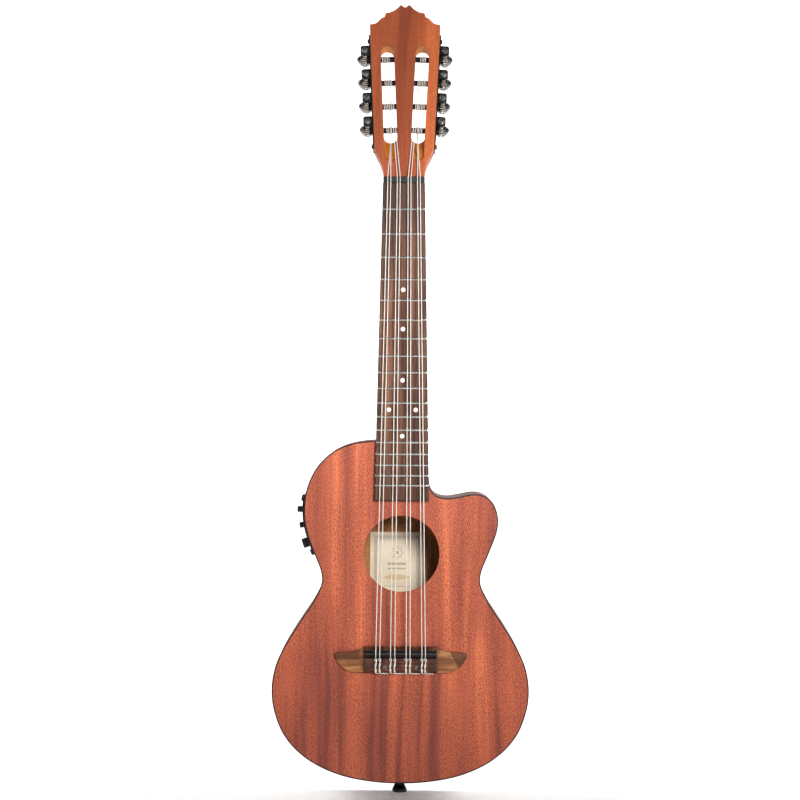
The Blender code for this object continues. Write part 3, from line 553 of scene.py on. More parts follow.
def cut(obj, *shapes, operation='DIFFERENCE', where=None):
    """Boolean with throwaway tools, applied to the mesh."""
    tools = []
    for n, (verts, faces) in enumerate(shapes):
        bm = bmesh.new()
        placed = [(where @ Vector(v)) if where is not None else Vector(v) for v in verts]
        bv = [bm.verts.new((p + SHIFT) * MM) for p in placed]
        for f in faces:
            if len(set(f)) > 2:
                bm.faces.new([bv[i] for i in f])
        bmesh.ops.recalc_face_normals(bm, faces=bm.faces)
        mesh = bpy.data.meshes.new("tool")
        bm.to_mesh(mesh)
        bm.free()
        tool = bpy.data.objects.new("tool_%d" % n, mesh)
        bpy.context.scene.collection.objects.link(tool)
        mod = obj.modifiers.new("cut_%d" % n, 'BOOLEAN')
        mod.operation = operation
        mod.solver = 'EXACT'
        mod.object = tool
        tools.append(tool)
    keep = [m for m in obj.modifiers if m.type != 'BOOLEAN']
    for m in keep:
        m.show_viewport = False
    bpy.context.view_layer.update()
    graph = bpy.context.evaluated_depsgraph_get()
    made = bpy.data.meshes.new_from_object(obj.evaluated_get(graph))
    old = obj.data
    obj.modifiers.clear()
    obj.data = made
    made.name = obj.name
    bpy.data.meshes.remove(old)
    for tool in tools:
        mesh = tool.data
        bpy.data.objects.remove(tool)
        bpy.data.meshes.remove(mesh)
    _, rule, smooth, weighted = PIECES[obj.name]
    dress(obj, rule, smooth, weighted)
    return obj


# ---------------------------------------------------------------- materials
class Nodes:
    """Short hand for a material's node tree."""

    def __init__(self, name):
        self.mat = bpy.data.materials.new(name)
        self.mat.use_nodes = True
        self.tree = self.mat.node_tree
        self.shader = self.tree.nodes["Principled BSDF"]

    def add(self, kind, **props):
        node = self.tree.nodes.new(kind)
        for key, value in props.items():
            setattr(node, key, value)
        return node

    def link(self, a, b):
        self.tree.links.new(a, b)

    def feed(self, socket, value):
        if isinstance(value, bpy.types.NodeSocket):
            self.link(value, socket)
        elif isinstance(value, (tuple, list)):
            socket.default_value = (*value, 1.0) if len(socket.default_value) == 4 and len(value) == 3 else value
        else:
            socket.default_value = value

    def grain(self):
        """Grain coordinates in millimetres."""
        return self.add('ShaderNodeAttribute', attribute_type='GEOMETRY', attribute_name="grain").outputs["Vector"]

    def scaled(self, vec, scale, move=(0.0, 0.0, 0.0)):
        node = self.add('ShaderNodeMapping')
        self.link(vec, node.inputs["Vector"])
        node.inputs["Scale"].default_value = scale
        node.inputs["Location"].default_value = move
        return node.outputs[0]

    def noise(self, vec, scale=1.0, detail=2.0, rough=0.5, distortion=0.0):
        node = self.add('ShaderNodeTexNoise')
        self.link(vec, node.inputs["Vector"])
        node.inputs["Scale"].default_value = scale
        node.inputs["Detail"].default_value = detail
        node.inputs["Roughness"].default_value = rough
        node.inputs["Distortion"].default_value = distortion
        return node.outputs[0]

    def cells(self, vec, scale=1.0, feature='F1', randomness=1.0, flat=False):
        node = self.add('ShaderNodeTexVoronoi', feature=feature, voronoi_dimensions='2D' if flat else '3D')
        self.link(vec, node.inputs["Vector"])
        node.inputs["Scale"].default_value = scale
        node.inputs["Randomness"].default_value = randomness
        return node.outputs["Distance"]

    def math(self, op, a, b=0.0, c=0.0, clamp=False):
        node = self.add('ShaderNodeMath', operation=op, use_clamp=clamp)
        self.feed(node.inputs[0], a)
        self.feed(node.inputs[1], b)
        if op in ('MULTIPLY_ADD', 'SMOOTH_MIN', 'COMPARE'):
            self.feed(node.inputs[2], c)
        return node.outputs[0]

    def span(self, value, a, b, c=0.0, d=1.0, smooth=True):
        node = self.add('ShaderNodeMapRange', interpolation_type='SMOOTHSTEP' if smooth else 'LINEAR')
        self.feed(node.inputs[0], value)
        for i, v in enumerate((a, b, c, d)):
            self.feed(node.inputs[i + 1], v)
        return node.outputs[0]

    def ramp(self, value, stops, interpolation='EASE'):
        node = self.add('ShaderNodeValToRGB')
        node.color_ramp.interpolation = interpolation
        els = node.color_ramp.elements
        while len(els) < len(stops):
            els.new(0.5)
        for el, (at, colour) in zip(els, stops):
            el.position = at
            el.color = (*colour, 1.0) if not isinstance(colour, float) else (colour, colour, colour, 1.0)
        self.link(value, node.inputs[0])
        return node.outputs[0]

    def mix(self, factor, a, b, mode='MIX'):
        node = self.add('ShaderNodeMix', data_type='RGBA', blend_type=mode)
        node.clamp_factor = True
        self.feed(node.inputs[0], factor)
        self.feed(node.inputs[6], a)
        self.feed(node.inputs[7], b)
        return node.outputs[2]

    def split(self, vec):
        node = self.add('ShaderNodeSeparateXYZ')
        self.link(vec, node.inputs[0])
        return node.outputs

    def combine(self, x, y, z):
        node = self.add('ShaderNodeCombineXYZ')
        for i, v in enumerate((x, y, z)):
            self.feed(node.inputs[i], v)
        return node.outputs[0]

    def bump(self, height, distance=0.0001, strength=1.0, base=None):
        node = self.add('ShaderNodeBump')
        node.inputs["Strength"].default_value = strength
        node.inputs["Distance"].default_value = distance
        self.link(height, node.inputs["Height"])
        if base is not None:
            self.link(base, node.inputs["Normal"])
        return node.outputs[0]

    def finish(self, colour=None, rough=None, normal=None, **sockets):
        s = self.shader.inputs
        if colour is not None:
            self.feed(s["Base Color"], colour)
        if rough is not None:
            self.feed(s["Roughness"], rough)
        if normal is not None:
            self.link(normal, s["Normal"])
        for key, value in sockets.items():
            self.feed(s[key.replace("_", " ")], value)
        return self.mat


def wood(name, dark, mid, light, pore=(0.12, 0.035, 0.022), stripes=None, stripe_share=0.5,
         rough=0.46, pore_depth=1.0, fibre=0.16, broad=0.16, coat=0.0, lower=None, gloss_level=0.16,
         speckle=0.12, mirror=False):
    """Ribbon-striped open-pored wood. stripes: (across in mm, 0 dark to 1 light)."""
    n = Nodes(name)
    g = n.grain()
    x, y, z = n.split(g)[:]
    if mirror:  # two bookmatched halves
        x = n.math('MULTIPLY_ADD', n.math('ABSOLUTE', x), 0.9, 230.0)
        g = n.combine(x, y, z)
    warp = n.noise(n.scaled(g, (0.012, 0.012, 0.006)), 1.0, 0.0)
    xw = n.math('MULTIPLY_ADD', n.math('SUBTRACT', warp, 0.5), 11.0, x)
    bent = n.combine(xw, y, z)
    wide = n.noise(n.scaled(bent, (0.085, 0.03, 0.0045)), 1.0, 2.0, 0.5)
    thin = n.noise(n.scaled(bent, (0.30, 0.06, 0.011), (7.0, 3.0, 1.0)), 1.0, 2.0, 0.55)
    figure = n.math('MULTIPLY_ADD', wide, 0.62, n.math('MULTIPLY', thin, 0.38))
    figure = n.span(figure, 0.33, 0.68)
    if stripes:
        reach = 125.0
        at = n.span(xw, -reach, reach, smooth=False)
        laid = n.ramp(at, [((s + reach) / (2 * reach), v) for s, v in stripes])
        if lower:
            other = n.ramp(at, [((s + reach) / (2 * reach), v) for s, v in lower])
            laid = n.mix(n.span(z, -365.0, -455.0), laid, other)
            # painted shade: towards the bottom of the body the figure darkens by up to 42 %, standing in for the
            # light's fall-off
            laid = n.mix(n.span(z, -400.0, -560.0, 0.0, 0.42), laid, (0.0, 0.0, 0.0))
        figure = n.math('MULTIPLY_ADD', laid, stripe_share, n.math('MULTIPLY', figure, 1.0 - stripe_share))
    base = n.ramp(figure, [(0.05, dark), (0.5, mid), (0.95, light)])
    # fibres: fine streaks that run with the grain
    streak = n.noise(n.scaled(g, (2.1, 2.1, 0.045), (3.0, 1.0, 2.0)), 1.0, 4.0, 0.6)
    streak2 = n.noise(n.scaled(g, (0.7, 0.7, 0.02), (1.0, 5.0, 4.0)), 1.0, 3.0, 0.6)
    both = n.math('MULTIPLY_ADD', streak, 0.6, n.math('MULTIPLY', streak2, 0.4))
    shade = n.span(both, 0.3, 0.7, 1.0 - fibre, 1.0 + fibre, smooth=False)
    tone = n.noise(n.scaled(g, (0.011, 0.011, 0.007), (5.0, 2.0, 9.0)), 1.0, 2.0)
    tone = n.span(tone, 0.3, 0.7, 1.0 - broad, 1.0 + broad, smooth=False)
    shade = n.math('MULTIPLY', shade, tone)
    base = n.mix(1.0, base, n.combine(shade, shade, shade), 'MULTIPLY')
    # pores: short dark dashes, in two sizes
    across = n.math('MULTIPLY_ADD', y, 0.77, x)
    p1 = n.cells(n.scaled(n.combine(across, z, 0.0), (0.72, 0.29, 1.0)), 1.0, flat=True)
    p2 = n.cells(n.scaled(n.combine(across, z, 0.0), (1.15, 0.50, 1.0), (4.0, 7.0, 0.0)), 1.0, flat=True)
    density = n.noise(n.scaled(bent, (0.10, 0.10, 0.02), (2.0, 8.0, 3.0)), 1.0, 2.0)
    pores = n.math('MAXIMUM', n.span(p1, 0.14, 0.36, 1.0, 0.0), n.span(p2, 0.12, 0.34, 0.8, 0.0))
    pores = n.math('MULTIPLY', pores, n.span(density, 0.3, 0.62, 0.55, 1.0))
    speck = n.noise(n.scaled(g, (0.95, 0.95, 0.42), (6.0, 1.0, 3.0)), 1.0, 2.0, 0.6)
    speck = n.span(speck, 0.32, 0.68, 1.0 - speckle, 1.0 + speckle, smooth=False)
    base = n.mix(1.0, base, n.combine(speck, speck, speck), 'MULTIPLY')
    base = n.mix(n.math('MULTIPLY', pores, 0.72 * pore_depth), base, pore)
    gloss = n.span(n.noise(n.scaled(g, (0.06, 0.06, 0.02)), 1.0, 3.0), 0.3, 0.7, rough - 0.05, rough + 0.07)
    gloss = n.math('MULTIPLY_ADD', pores, 0.16, gloss)
    height = n.math('SUBTRACT', n.math('MULTIPLY', both, 0.35), n.math('MULTIPLY', pores, 1.0))
    normal = n.bump(height, 0.00007, 0.6)
    return n.finish(base, gloss, normal, Coat_Weight=coat, Coat_Roughness=0.3, Specular_IOR_Level=gloss_level)


UPPER_STRIPES = ((-118, 0.45), (-92, 0.50), (-80, 0.40), (-66, 0.55), (-60, 0.95), (-55, 0.80), (-49, 0.30),
                 (-44, 0.50), (-40, 0.85), (-34, 0.75), (-26, 0.40), (-18, 0.28), (-11, 0.40), (-4, 0.60),
                 (4, 0.50), (12, 0.65), (20, 0.45), (28, 0.62), (40, 0.80), (48, 0.45), (54, 0.22), (60, 0.58),
                 (66, 0.50), (74, 0.30), (84, 0.28), (95, 0.40))
LOWER_STRIPES = ((-118, 0.40), (-100, 0.50), (-90, 0.35), (-80, 0.15), (-66, 0.10), (-54, 0.20), (-46, 0.70),
                 (-40, 0.90), (-32, 0.55), (-24, 0.20), (-14, 0.15), (-9, 0.50), (-5.7, 0.85), (0, 0.20),
                 (5.4, 0.85), (11, 0.55), (16.5, 0.20), (22, 0.80), (27, 0.30), (33, 0.20), (40, 0.70),
                 (50, 0.95), (58, 0.75), (66, 0.85), (76, 0.95), (84, 0.70), (89, 0.25), (97, 0.50),
                 (110, 0.60), (119, 0.45))
MAHOGANY_TOP = wood("mahogany_top", (0.185, 0.042, 0.030), (0.40, 0.092, 0.046), (0.66, 0.170, 0.072),
                    pore=(0.085, 0.022, 0.015), stripes=UPPER_STRIPES, stripe_share=0.68, lower=LOWER_STRIPES)
# darker copy of the body mahogany for the ribs: painted shade that keeps the ribs dark where the lamps would light them
SHADED_RIB_MAHOGANY = wood("mahogany", (0.080, 0.021, 0.014), (0.150, 0.038, 0.022), (0.215, 0.058, 0.030), rough=0.5,
                pore=(0.035, 0.011, 0.008), gloss_level=0.12)
BACK_WOOD = wood("mahogany_back", (0.20, 0.050, 0.034), (0.36, 0.090, 0.048), (0.50, 0.14, 0.068), mirror=True)
BACK_INSIDE = wood("mahogany_back_inside", (0.30, 0.115, 0.042), (0.44, 0.185, 0.070), (0.55, 0.26, 0.105),
                   pore=(0.16, 0.06, 0.025), rough=0.6, pore_depth=0.6, mirror=True)
HEAD_STRIPES = ((-40, 0.45), (-30, 0.42), (-22, 0.36), (-8, 0.36), (-2, 0.30), (3, 0.24), (9, 0.42),
                (16, 0.62), (24, 0.95), (34, 1.0))
HEAD_FACE = wood("mahogany_head", (0.22, 0.047, 0.023), (0.39, 0.092, 0.036), (0.70, 0.172, 0.056),
                 pore=(0.13, 0.03, 0.018), stripes=HEAD_STRIPES, stripe_share=0.78, fibre=0.12, pore_depth=0.55,
                 speckle=0.08)
NECK_WOOD = wood("neck_mahogany", (0.27, 0.07, 0.036), (0.43, 0.125, 0.052), (0.57, 0.19, 0.075),
                 fibre=0.12)
SLOT_WOOD = wood("slot_mahogany", (0.40, 0.105, 0.016), (0.60, 0.195, 0.030), (0.76, 0.29, 0.050), fibre=0.12,
                 pore_depth=0.5, gloss_level=0.08)
INNER_WOOD = wood("inner_mahogany", (0.26, 0.095, 0.036), (0.40, 0.165, 0.066), (0.50, 0.23, 0.095),
                  pore=(0.10, 0.045, 0.02), rough=0.62)
SPRUCE = wood("brace_spruce", (0.46, 0.30, 0.15), (0.60, 0.42, 0.23), (0.70, 0.52, 0.31),
              pore=(0.34, 0.2, 0.09), rough=0.62, pore_depth=0.25)


def fingerboard_wood():
    n = Nodes("fingerboard_walnut")
    g = n.grain()
    x, y, z = n.split(g)[:]
    warp = n.noise(n.scaled(g, (0.05, 0.05, 0.012)), 1.0, 2.0)
    xw = n.math('MULTIPLY_ADD', n.math('SUBTRACT', warp, 0.5), 5.0, x)
    bent = n.combine(xw, y, z)
    wide = n.noise(n.scaled(bent, (0.16, 0.1, 0.006)), 1.0, 2.0, 0.5)
    thin = n.noise(n.scaled(bent, (0.75, 0.3, 0.014), (3.0, 3.0, 1.0)), 1.0, 3.0, 0.6)
    figure = n.span(n.math('MULTIPLY_ADD', wide, 0.55, n.math('MULTIPLY', thin, 0.45)), 0.32, 0.66)
    base = n.ramp(figure, [(0.0, (0.028, 0.008, 0.005)), (0.28, (0.068, 0.023, 0.012)),
                           (0.6, (0.130, 0.052, 0.028)), (1.0, (0.22, 0.098, 0.053))])
    # darker wood towards the nut, lighter in the middle of the neck
    along = n.ramp(n.span(z, -300.0, 0.0, smooth=False),
                   [(0.0, 0.62), (0.25, 0.86), (0.55, 1.12), (0.82, 0.82), (0.92, 0.52), (1.0, 0.42)])
    base = n.mix(1.0, base, along, 'MULTIPLY')
    streak = n.noise(n.scaled(g, (3.2, 3.0, 0.06), (1.0, 1.0, 2.0)), 1.0, 4.0, 0.6)
    shade = n.span(streak, 0.3, 0.7, 0.80, 1.20, smooth=False)
    base = n.mix(1.0, base, n.combine(shade, shade, shade), 'MULTIPLY')
    pore = n.cells(n.scaled(g, (1.3, 1.3, 0.16), (4.0, 2.0, 7.0)), 1.0)
    pores = n.span(pore, 0.12, 0.26, 1.0, 0.0)
    base = n.mix(n.math('MULTIPLY', pores, 0.65), base, (0.025, 0.012, 0.009))
    # the board is darker along its sides and at its end
    half = n.math('MULTIPLY_ADD', z, (BOARD_HALF_END - BOARD_HALF_NUT) / BOARD_END, BOARD_HALF_NUT)
    room = n.math('SUBTRACT', half, n.math('ABSOLUTE', x))
    room = n.math('MINIMUM', room, n.math('SUBTRACT', z, BOARD_END))
    base = n.mix(n.span(room, 0.75, 1.25, 0.93, 0.0), base, (0.020, 0.016, 0.016))
    gloss = n.span(streak, 0.3, 0.7, 0.44, 0.58)
    normal = n.bump(n.math('SUBTRACT', n.math('MULTIPLY', streak, 0.4), pores), 0.00006, 0.6)
    return n.finish(base, gloss, normal, Specular_IOR_Level=0.16)


def bridge_wing_wood():
    n = Nodes("bridge_wing")
    g = n.grain()
    x, y, z = n.split(g)[:]
    warp = n.noise(n.scaled(g, (0.05, 0.2, 0.12)), 1.0, 2.0)
    zw = n.math('MULTIPLY_ADD', n.math('SUBTRACT', warp, 0.5), 4.0, z)
    wide = n.noise(n.scaled(n.combine(x, y, zw), (0.014, 0.2, 0.24)), 1.0, 2.0, 0.5)
    thin = n.noise(n.scaled(n.combine(x, y, zw), (0.05, 0.6, 1.5)), 1.0, 3.0, 0.6)
    figure = n.span(n.math('MULTIPLY_ADD', wide, 0.72, n.math('MULTIPLY', thin, 0.28)), 0.30, 0.68)
    patch = n.noise(n.scaled(g, (0.11, 0.1, 0.16), (1.3, 0.0, 4.1)), 1.0, 1.0)
    figure = n.math('MULTIPLY', figure, n.span(patch, 0.40, 0.58, 0.55, 1.0))
    # a darker band along the top of the bass wing, a darker outer end on the treble wing
    bass_top = n.math('MULTIPLY', n.span(x, -40.0, -36.0, 1.0, 0.0), n.span(z, -441.5, -439.5))
    treble_out = n.math('MULTIPLY', n.span(n.math('MULTIPLY_ADD', z, 0.55, n.math('ADD', x, 243.0)), 50.0, 51.2),
                        n.span(x, 36.0, 37.0))
    shade = n.span(n.math('MAXIMUM', bass_top, treble_out), 0.0, 1.0, 1.0, 0.42)
    figure = n.math('MULTIPLY', n.math('MULTIPLY_ADD', figure, 0.6, 0.4), shade)
    base = n.ramp(figure, [(0.0, (0.050, 0.016, 0.006)), (0.3, (0.110, 0.038, 0.014)),
                           (0.65, (0.215, 0.082, 0.030)), (1.0, (0.36, 0.155, 0.058))])
    pore = n.cells(n.scaled(g, (0.25, 1.3, 1.5), (4.0, 2.0, 7.0)), 1.0)
    pores = n.span(pore, 0.12, 0.26, 1.0, 0.0)
    base = n.mix(n.math('MULTIPLY', pores, 0.55), base, (0.05, 0.022, 0.014))
    # the wings darken where they meet the block
    base = n.mix(n.span(n.math('ABSOLUTE', x), 33.0, 36.5, 0.75, 0.0), base, (0.07, 0.03, 0.02))
    gloss = n.span(thin, 0.3, 0.7, 0.36, 0.5)
    normal = n.bump(n.math('SUBTRACT', n.math('MULTIPLY', thin, 0.4), pores), 0.00006, 0.5)
    return n.finish(base, gloss, normal, Specular_IOR_Level=0.18)


def bridge_block_wood():
    n = Nodes("bridge_block")
    g = n.grain()
    x, y, z = n.split(g)[:]
    patch = n.noise(n.scaled(g, (0.12, 0.05, 0.03), (2.3, 0.0, 1.1)), 1.0, 2.0)
    thin = n.noise(n.scaled(g, (0.045, 0.7, 1.6)), 1.0, 3.0, 0.6)
    figure = n.span(n.math('MULTIPLY_ADD', patch, 0.55, n.math('MULTIPLY', thin, 0.45)), 0.33, 0.66)
    base = n.ramp(figure, [(0.0, (0.022, 0.009, 0.006)), (0.4, (0.070, 0.023, 0.012)),
                           (0.75, (0.135, 0.045, 0.020)), (1.0, (0.220, 0.076, 0.032))])
    pore = n.cells(n.scaled(g, (0.25, 1.3, 1.5), (4.0, 2.0, 7.0)), 1.0)
    pores = n.span(pore, 0.12, 0.26, 1.0, 0.0)
    base = n.mix(n.math('MULTIPLY', pores, 0.6), base, (0.012, 0.006, 0.005))
    # painted shade: the groove round the saddle, which lies in shadow, is painted near black
    painted_channel_shade = n.math('MULTIPLY', n.span(z, -431.2, -430.7, 1.0, 0.0), n.span(z, -439.6, -439.1))
    base = n.mix(n.math('MULTIPLY', painted_channel_shade, 0.93), base, (0.006, 0.005, 0.006))
    gloss = n.span(thin, 0.3, 0.7, 0.30, 0.44)
    normal = n.bump(n.math('SUBTRACT', n.math('MULTIPLY', thin, 0.4), pores), 0.00006, 0.5)
    return n.finish(base, gloss, normal, Specular_IOR_Level=0.2)


def plain(name, dark, light, rough=(0.3, 0.45), metallic=0.0, scale=0.6, depth=0.00002, **extra):
    """Moulded, plated or polished surface with a faint mottle and micro relief."""
    n = Nodes(name)
    g = n.grain()
    broad = n.noise(n.scaled(g, (scale * 0.3,) * 3), 1.0, 3.0)
    fine = n.noise(n.scaled(g, (scale * 4.0,) * 3), 1.0, 4.0, 0.65)
    mixed = n.span(n.math('MULTIPLY_ADD', broad, 0.6, n.math('MULTIPLY', fine, 0.4)), 0.35, 0.65)
    base = n.mix(mixed, dark, light)
    gloss = n.span(n.math('MULTIPLY_ADD', fine, 0.5, n.math('MULTIPLY', broad, 0.5)), 0.35, 0.65, *rough)
    return n.finish(base, gloss, n.bump(fine, depth, 0.5), Metallic=metallic, **extra)


def brushed(name, dark, light, rough=(0.2, 0.4), metallic=1.0, stretch=(0.2, 3.0, 3.0)):
    """Metal with fine drawn scratches and a slight tarnish."""
    n = Nodes(name)
    g = n.grain()
    lines = n.noise(n.scaled(g, stretch), 1.0, 4.0, 0.7)
    tarnish = n.noise(n.scaled(g, (0.25, 0.25, 0.25)), 1.0, 3.0)
    base = n.mix(n.span(n.math('MULTIPLY_ADD', lines, 0.4, n.math('MULTIPLY', tarnish, 0.6)), 0.35, 0.65), dark, light)
    gloss = n.span(lines, 0.3, 0.7, *rough)
    return n.finish(base, gloss, n.bump(lines, 0.000015, 0.5), Metallic=metallic)


def pearl():
    n = Nodes("pearl_button")
    g = n.grain()
    swirl = n.noise(n.scaled(g, (0.09, 0.16, 0.13)), 1.0, 4.0, 0.62, 1.6)
    vein = n.noise(n.scaled(g, (0.22, 0.35, 0.3), (3.0, 1.0, 2.0)), 1.0, 5.0, 0.6, 2.2)
    both = n.math('MULTIPLY_ADD', swirl, 0.55, n.math('MULTIPLY', vein, 0.45))
    base = n.ramp(n.span(both, 0.36, 0.64), [(0.0, (0.006, 0.006, 0.007)), (0.5, (0.020, 0.019, 0.019)),
                                             (0.74, (0.085, 0.080, 0.072)), (1.0, (0.42, 0.39, 0.34))])
    gloss = n.span(vein, 0.3, 0.7, 0.16, 0.28)
    return n.finish(base, gloss, n.bump(vein, 0.00002, 0.3), Coat_Weight=0.3, Coat_Roughness=0.08,
                    Specular_IOR_Level=0.3)


def nylon():
    n = Nodes("nylon")
    g = n.grain()
    fine = n.noise(n.scaled(g, (1.2, 1.2, 0.15)), 1.0, 3.0)
    base = n.mix(n.span(fine, 0.3, 0.7), (0.60, 0.565, 0.53), (0.74, 0.70, 0.66))
    gloss = n.span(fine, 0.3, 0.7, 0.24, 0.36)
    return n.finish(base, gloss, n.bump(fine, 0.00001, 0.3), Coat_Weight=0.3, Coat_Roughness=0.15,
                    Subsurface_Weight=0.25, Subsurface_Radius=(0.6, 0.5, 0.4), Subsurface_Scale=0.001)


LABEL_X = (-29.5, 22.0)
LABEL_Z = (-404.0, -326.4)


def paper():
    """Cream label with a printed ornamental frame, a rosette and ruled lines."""
    n = Nodes("label_paper")
    g = n.grain()
    x, y, z = n.split(g)[:]
    fibre = n.noise(n.scaled(g, (0.5, 0.5, 0.5)), 1.0, 4.0, 0.6)
    age = n.noise(n.scaled(g, (0.03, 0.03, 0.03)), 1.0, 2.0)
    sheet = n.mix(n.span(n.math('MULTIPLY_ADD', fibre, 0.4, n.math('MULTIPLY', age, 0.6)), 0.35, 0.65),
                  (0.72, 0.60, 0.44), (0.84, 0.73, 0.57))
    cx, cz = 0.5 * sum(LABEL_X), 0.5 * sum(LABEL_Z)
    hx, hz = 0.5 * (LABEL_X[1] - LABEL_X[0]), 0.5 * (LABEL_Z[1] - LABEL_Z[0])
    u = n.math('SUBTRACT', x, cx)
    v = n.math('SUBTRACT', z, cz)
    ex = n.math('SUBTRACT', hx, n.math('ABSOLUTE', u))
    ez = n.math('SUBTRACT', hz, n.math('ABSOLUTE', v))
    edge = n.math('MINIMUM', ex, ez)

    def band(value, a, b, soft=0.15):
        return n.math('MULTIPLY', n.span(value, a - soft, a + soft), n.span(value, b - soft, b + soft, 1.0, 0.0))

    # small lozenges along the frame
    run = n.math('MULTIPLY', n.math('ADD', u, v), 3.9)
    run2 = n.math('MULTIPLY', n.math('SUBTRACT', u, v), 3.9)
    weave = n.math('MULTIPLY', n.math('SINE', run), n.math('SINE', run2))
    pattern = n.span(weave, -0.25, 0.25)
    frame_band = n.math('MULTIPLY', band(edge, 4.1, 6.4), n.math('MULTIPLY_ADD', pattern, 0.62, 0.18))
    rules = n.math('MAXIMUM', band(edge, 3.3, 3.6, 0.1), band(edge, 7.3, 7.65, 0.1))
    ink = n.math('MAXIMUM', frame_band, n.math('MULTIPLY', rules, 0.8))
    # rosette above the middle
    ru, rv = u, n.math('SUBTRACT', v, 19.0)
    radius = n.math('SQRT', n.math('ADD', n.math('MULTIPLY', ru, ru), n.math('MULTIPLY', rv, rv)))
    angle = n.math('ARCTAN2', rv, ru)
    petal = n.math('MULTIPLY_ADD', n.math('COSINE', n.math('MULTIPLY', angle, 8.0)), 1.1, 4.6)
    ring = n.math('ABSOLUTE', n.math('SUBTRACT', radius, petal))
    rosette = n.math('MAXIMUM', n.span(ring, 0.25, 0.5, 1.0, 0.0), n.span(radius, 1.4, 1.8, 1.0, 0.0))
    ink = n.math('MAXIMUM', ink, n.math('MULTIPLY', rosette, 0.75))
    # ruled lines and a tinted lozenge
    lines = None
    for height, half, thick in ((8.4, 9.5, 0.95), (3.9, 9.5, 0.55), (-13.0, 13.0, 0.2), (-20.5, 7.0, 0.3)):
        row = n.math('MULTIPLY', n.span(n.math('ABSOLUTE', n.math('SUBTRACT', v, height)), thick, thick + 0.22, 1.0, 0.0),
                     n.span(n.math('ABSOLUTE', u), half - 0.4, half, 1.0, 0.0))
        lines = row if lines is None else n.math('MAXIMUM', lines, row)
    ink = n.math('MAXIMUM', ink, n.math('MULTIPLY', lines, 0.6))
    oval_u = n.math('DIVIDE', u, 12.5)
    oval_v = n.math('DIVIDE', n.math('ADD', v, 4.4), 2.6)
    oval = n.math('ADD', n.math('MULTIPLY', oval_u, oval_u), n.math('MULTIPLY', oval_v, oval_v))
    sheet = n.mix(n.span(oval, 0.85, 1.05, 0.85, 0.0), sheet, (0.62, 0.47, 0.25))
    base = n.mix(n.math('MULTIPLY', ink, 0.8), sheet, (0.085, 0.082, 0.066))
    return n.finish(base, n.span(fibre, 0.3, 0.7, 0.75, 0.9), n.bump(fibre, 0.00003, 0.4))


FINGERBOARD = fingerboard_wood()
WING_WOOD = bridge_wing_wood()
BLOCK_WOOD = bridge_block_wood()
PEARL = pearl()
NYLON = nylon()
PAPER = paper()
BINDING = plain("binding_black", (0.008, 0.006, 0.006), (0.022, 0.015, 0.014), (0.4, 0.5), Specular_IOR_Level=0.15)
NUT_BLACK = plain("black_bone", (0.007, 0.008, 0.009), (0.020, 0.021, 0.024), (0.30, 0.42), Specular_IOR_Level=0.12)
SADDLE_BLACK = plain("black_saddle", (0.006, 0.006, 0.008), (0.014, 0.015, 0.018), (0.12, 0.22))
PLASTIC = plain("black_plastic", (0.006, 0.006, 0.007), (0.015, 0.015, 0.016), (0.36, 0.5), depth=0.00004,
                Specular_IOR_Level=0.3)
KNOB_PLASTIC = plain("knob_plastic", (0.006, 0.006, 0.007), (0.016, 0.016, 0.018), (0.28, 0.42),
                     Specular_IOR_Level=0.3)
KEY_PLASTIC = plain("key_rubber", (0.03, 0.03, 0.032), (0.06, 0.06, 0.064), (0.5, 0.65))
BLACK_METAL = plain("black_metal", (0.005, 0.005, 0.006), (0.022, 0.021, 0.021), (0.16, 0.34), 0.5,
                    Specular_IOR_Level=0.4)
ROLLER_BLACK = plain("roller_black", (0.004, 0.004, 0.005), (0.012, 0.012, 0.013), (0.2, 0.34), 0.2,
                     Specular_IOR_Level=0.25)
LUG_RING = brushed("lug_ring", (0.05, 0.05, 0.052), (0.20, 0.195, 0.19), (0.25, 0.4), 0.8)
WORM_METAL = brushed("worm_steel", (0.16, 0.15, 0.14), (0.42, 0.40, 0.37), (0.22, 0.38))


def gear_metal():
    """Pale alloy wheel, darker at its tooth roots; grain is (axial, radius, angle) here."""
    n = Nodes("gear_alloy")
    g = n.grain()
    along, radius, angle = n.split(g)[:]
    fine = n.noise(n.scaled(g, (3.0, 3.0, 3.0)), 1.0, 4.0, 0.6)
    metal = n.mix(n.span(fine, 0.3, 0.7), (0.42, 0.34, 0.24), (0.70, 0.62, 0.50))
    # the tooth roots are darkened towards near black and made less metallic
    root_darkening = n.span(radius, 4.25, 4.95, 0.96, 0.0)
    base = n.mix(root_darkening, metal, (0.012, 0.010, 0.009))
    return n.finish(base, n.span(fine, 0.3, 0.7, 0.24, 0.4), n.bump(fine, 0.000015, 0.4),
                    Metallic=n.math('SUBTRACT', 1.0, n.math('MULTIPLY', root_darkening, 0.8)))


BRASS = gear_metal()
FRET_METAL = brushed("fret_nickel", (0.42, 0.41, 0.39), (0.66, 0.65, 0.63), (0.10, 0.20), 1.0, (3.0, 3.0, 0.4))
INLAY = plain("inlay_pearl", (0.70, 0.66, 0.56), (0.92, 0.90, 0.84), (0.14, 0.26), Coat_Weight=0.4)
DOWEL = plain("dowel_grey", (0.040, 0.055, 0.052), (0.095, 0.120, 0.112), (0.16, 0.3), Coat_Weight=0.4)
PICKUP = brushed("pickup_braid", (0.35, 0.30, 0.22), (0.62, 0.56, 0.44), (0.3, 0.5), 0.9, (6.0, 6.0, 6.0))
CELL = plain("battery_case", (0.05, 0.055, 0.065), (0.11, 0.12, 0.14), (0.3, 0.45))
CELL_METAL = brushed("battery_metal", (0.5, 0.5, 0.5), (0.75, 0.75, 0.74), (0.2, 0.35))
PRINT = plain("panel_print", (0.62, 0.62, 0.60), (0.80, 0.80, 0.78), (0.45, 0.6))

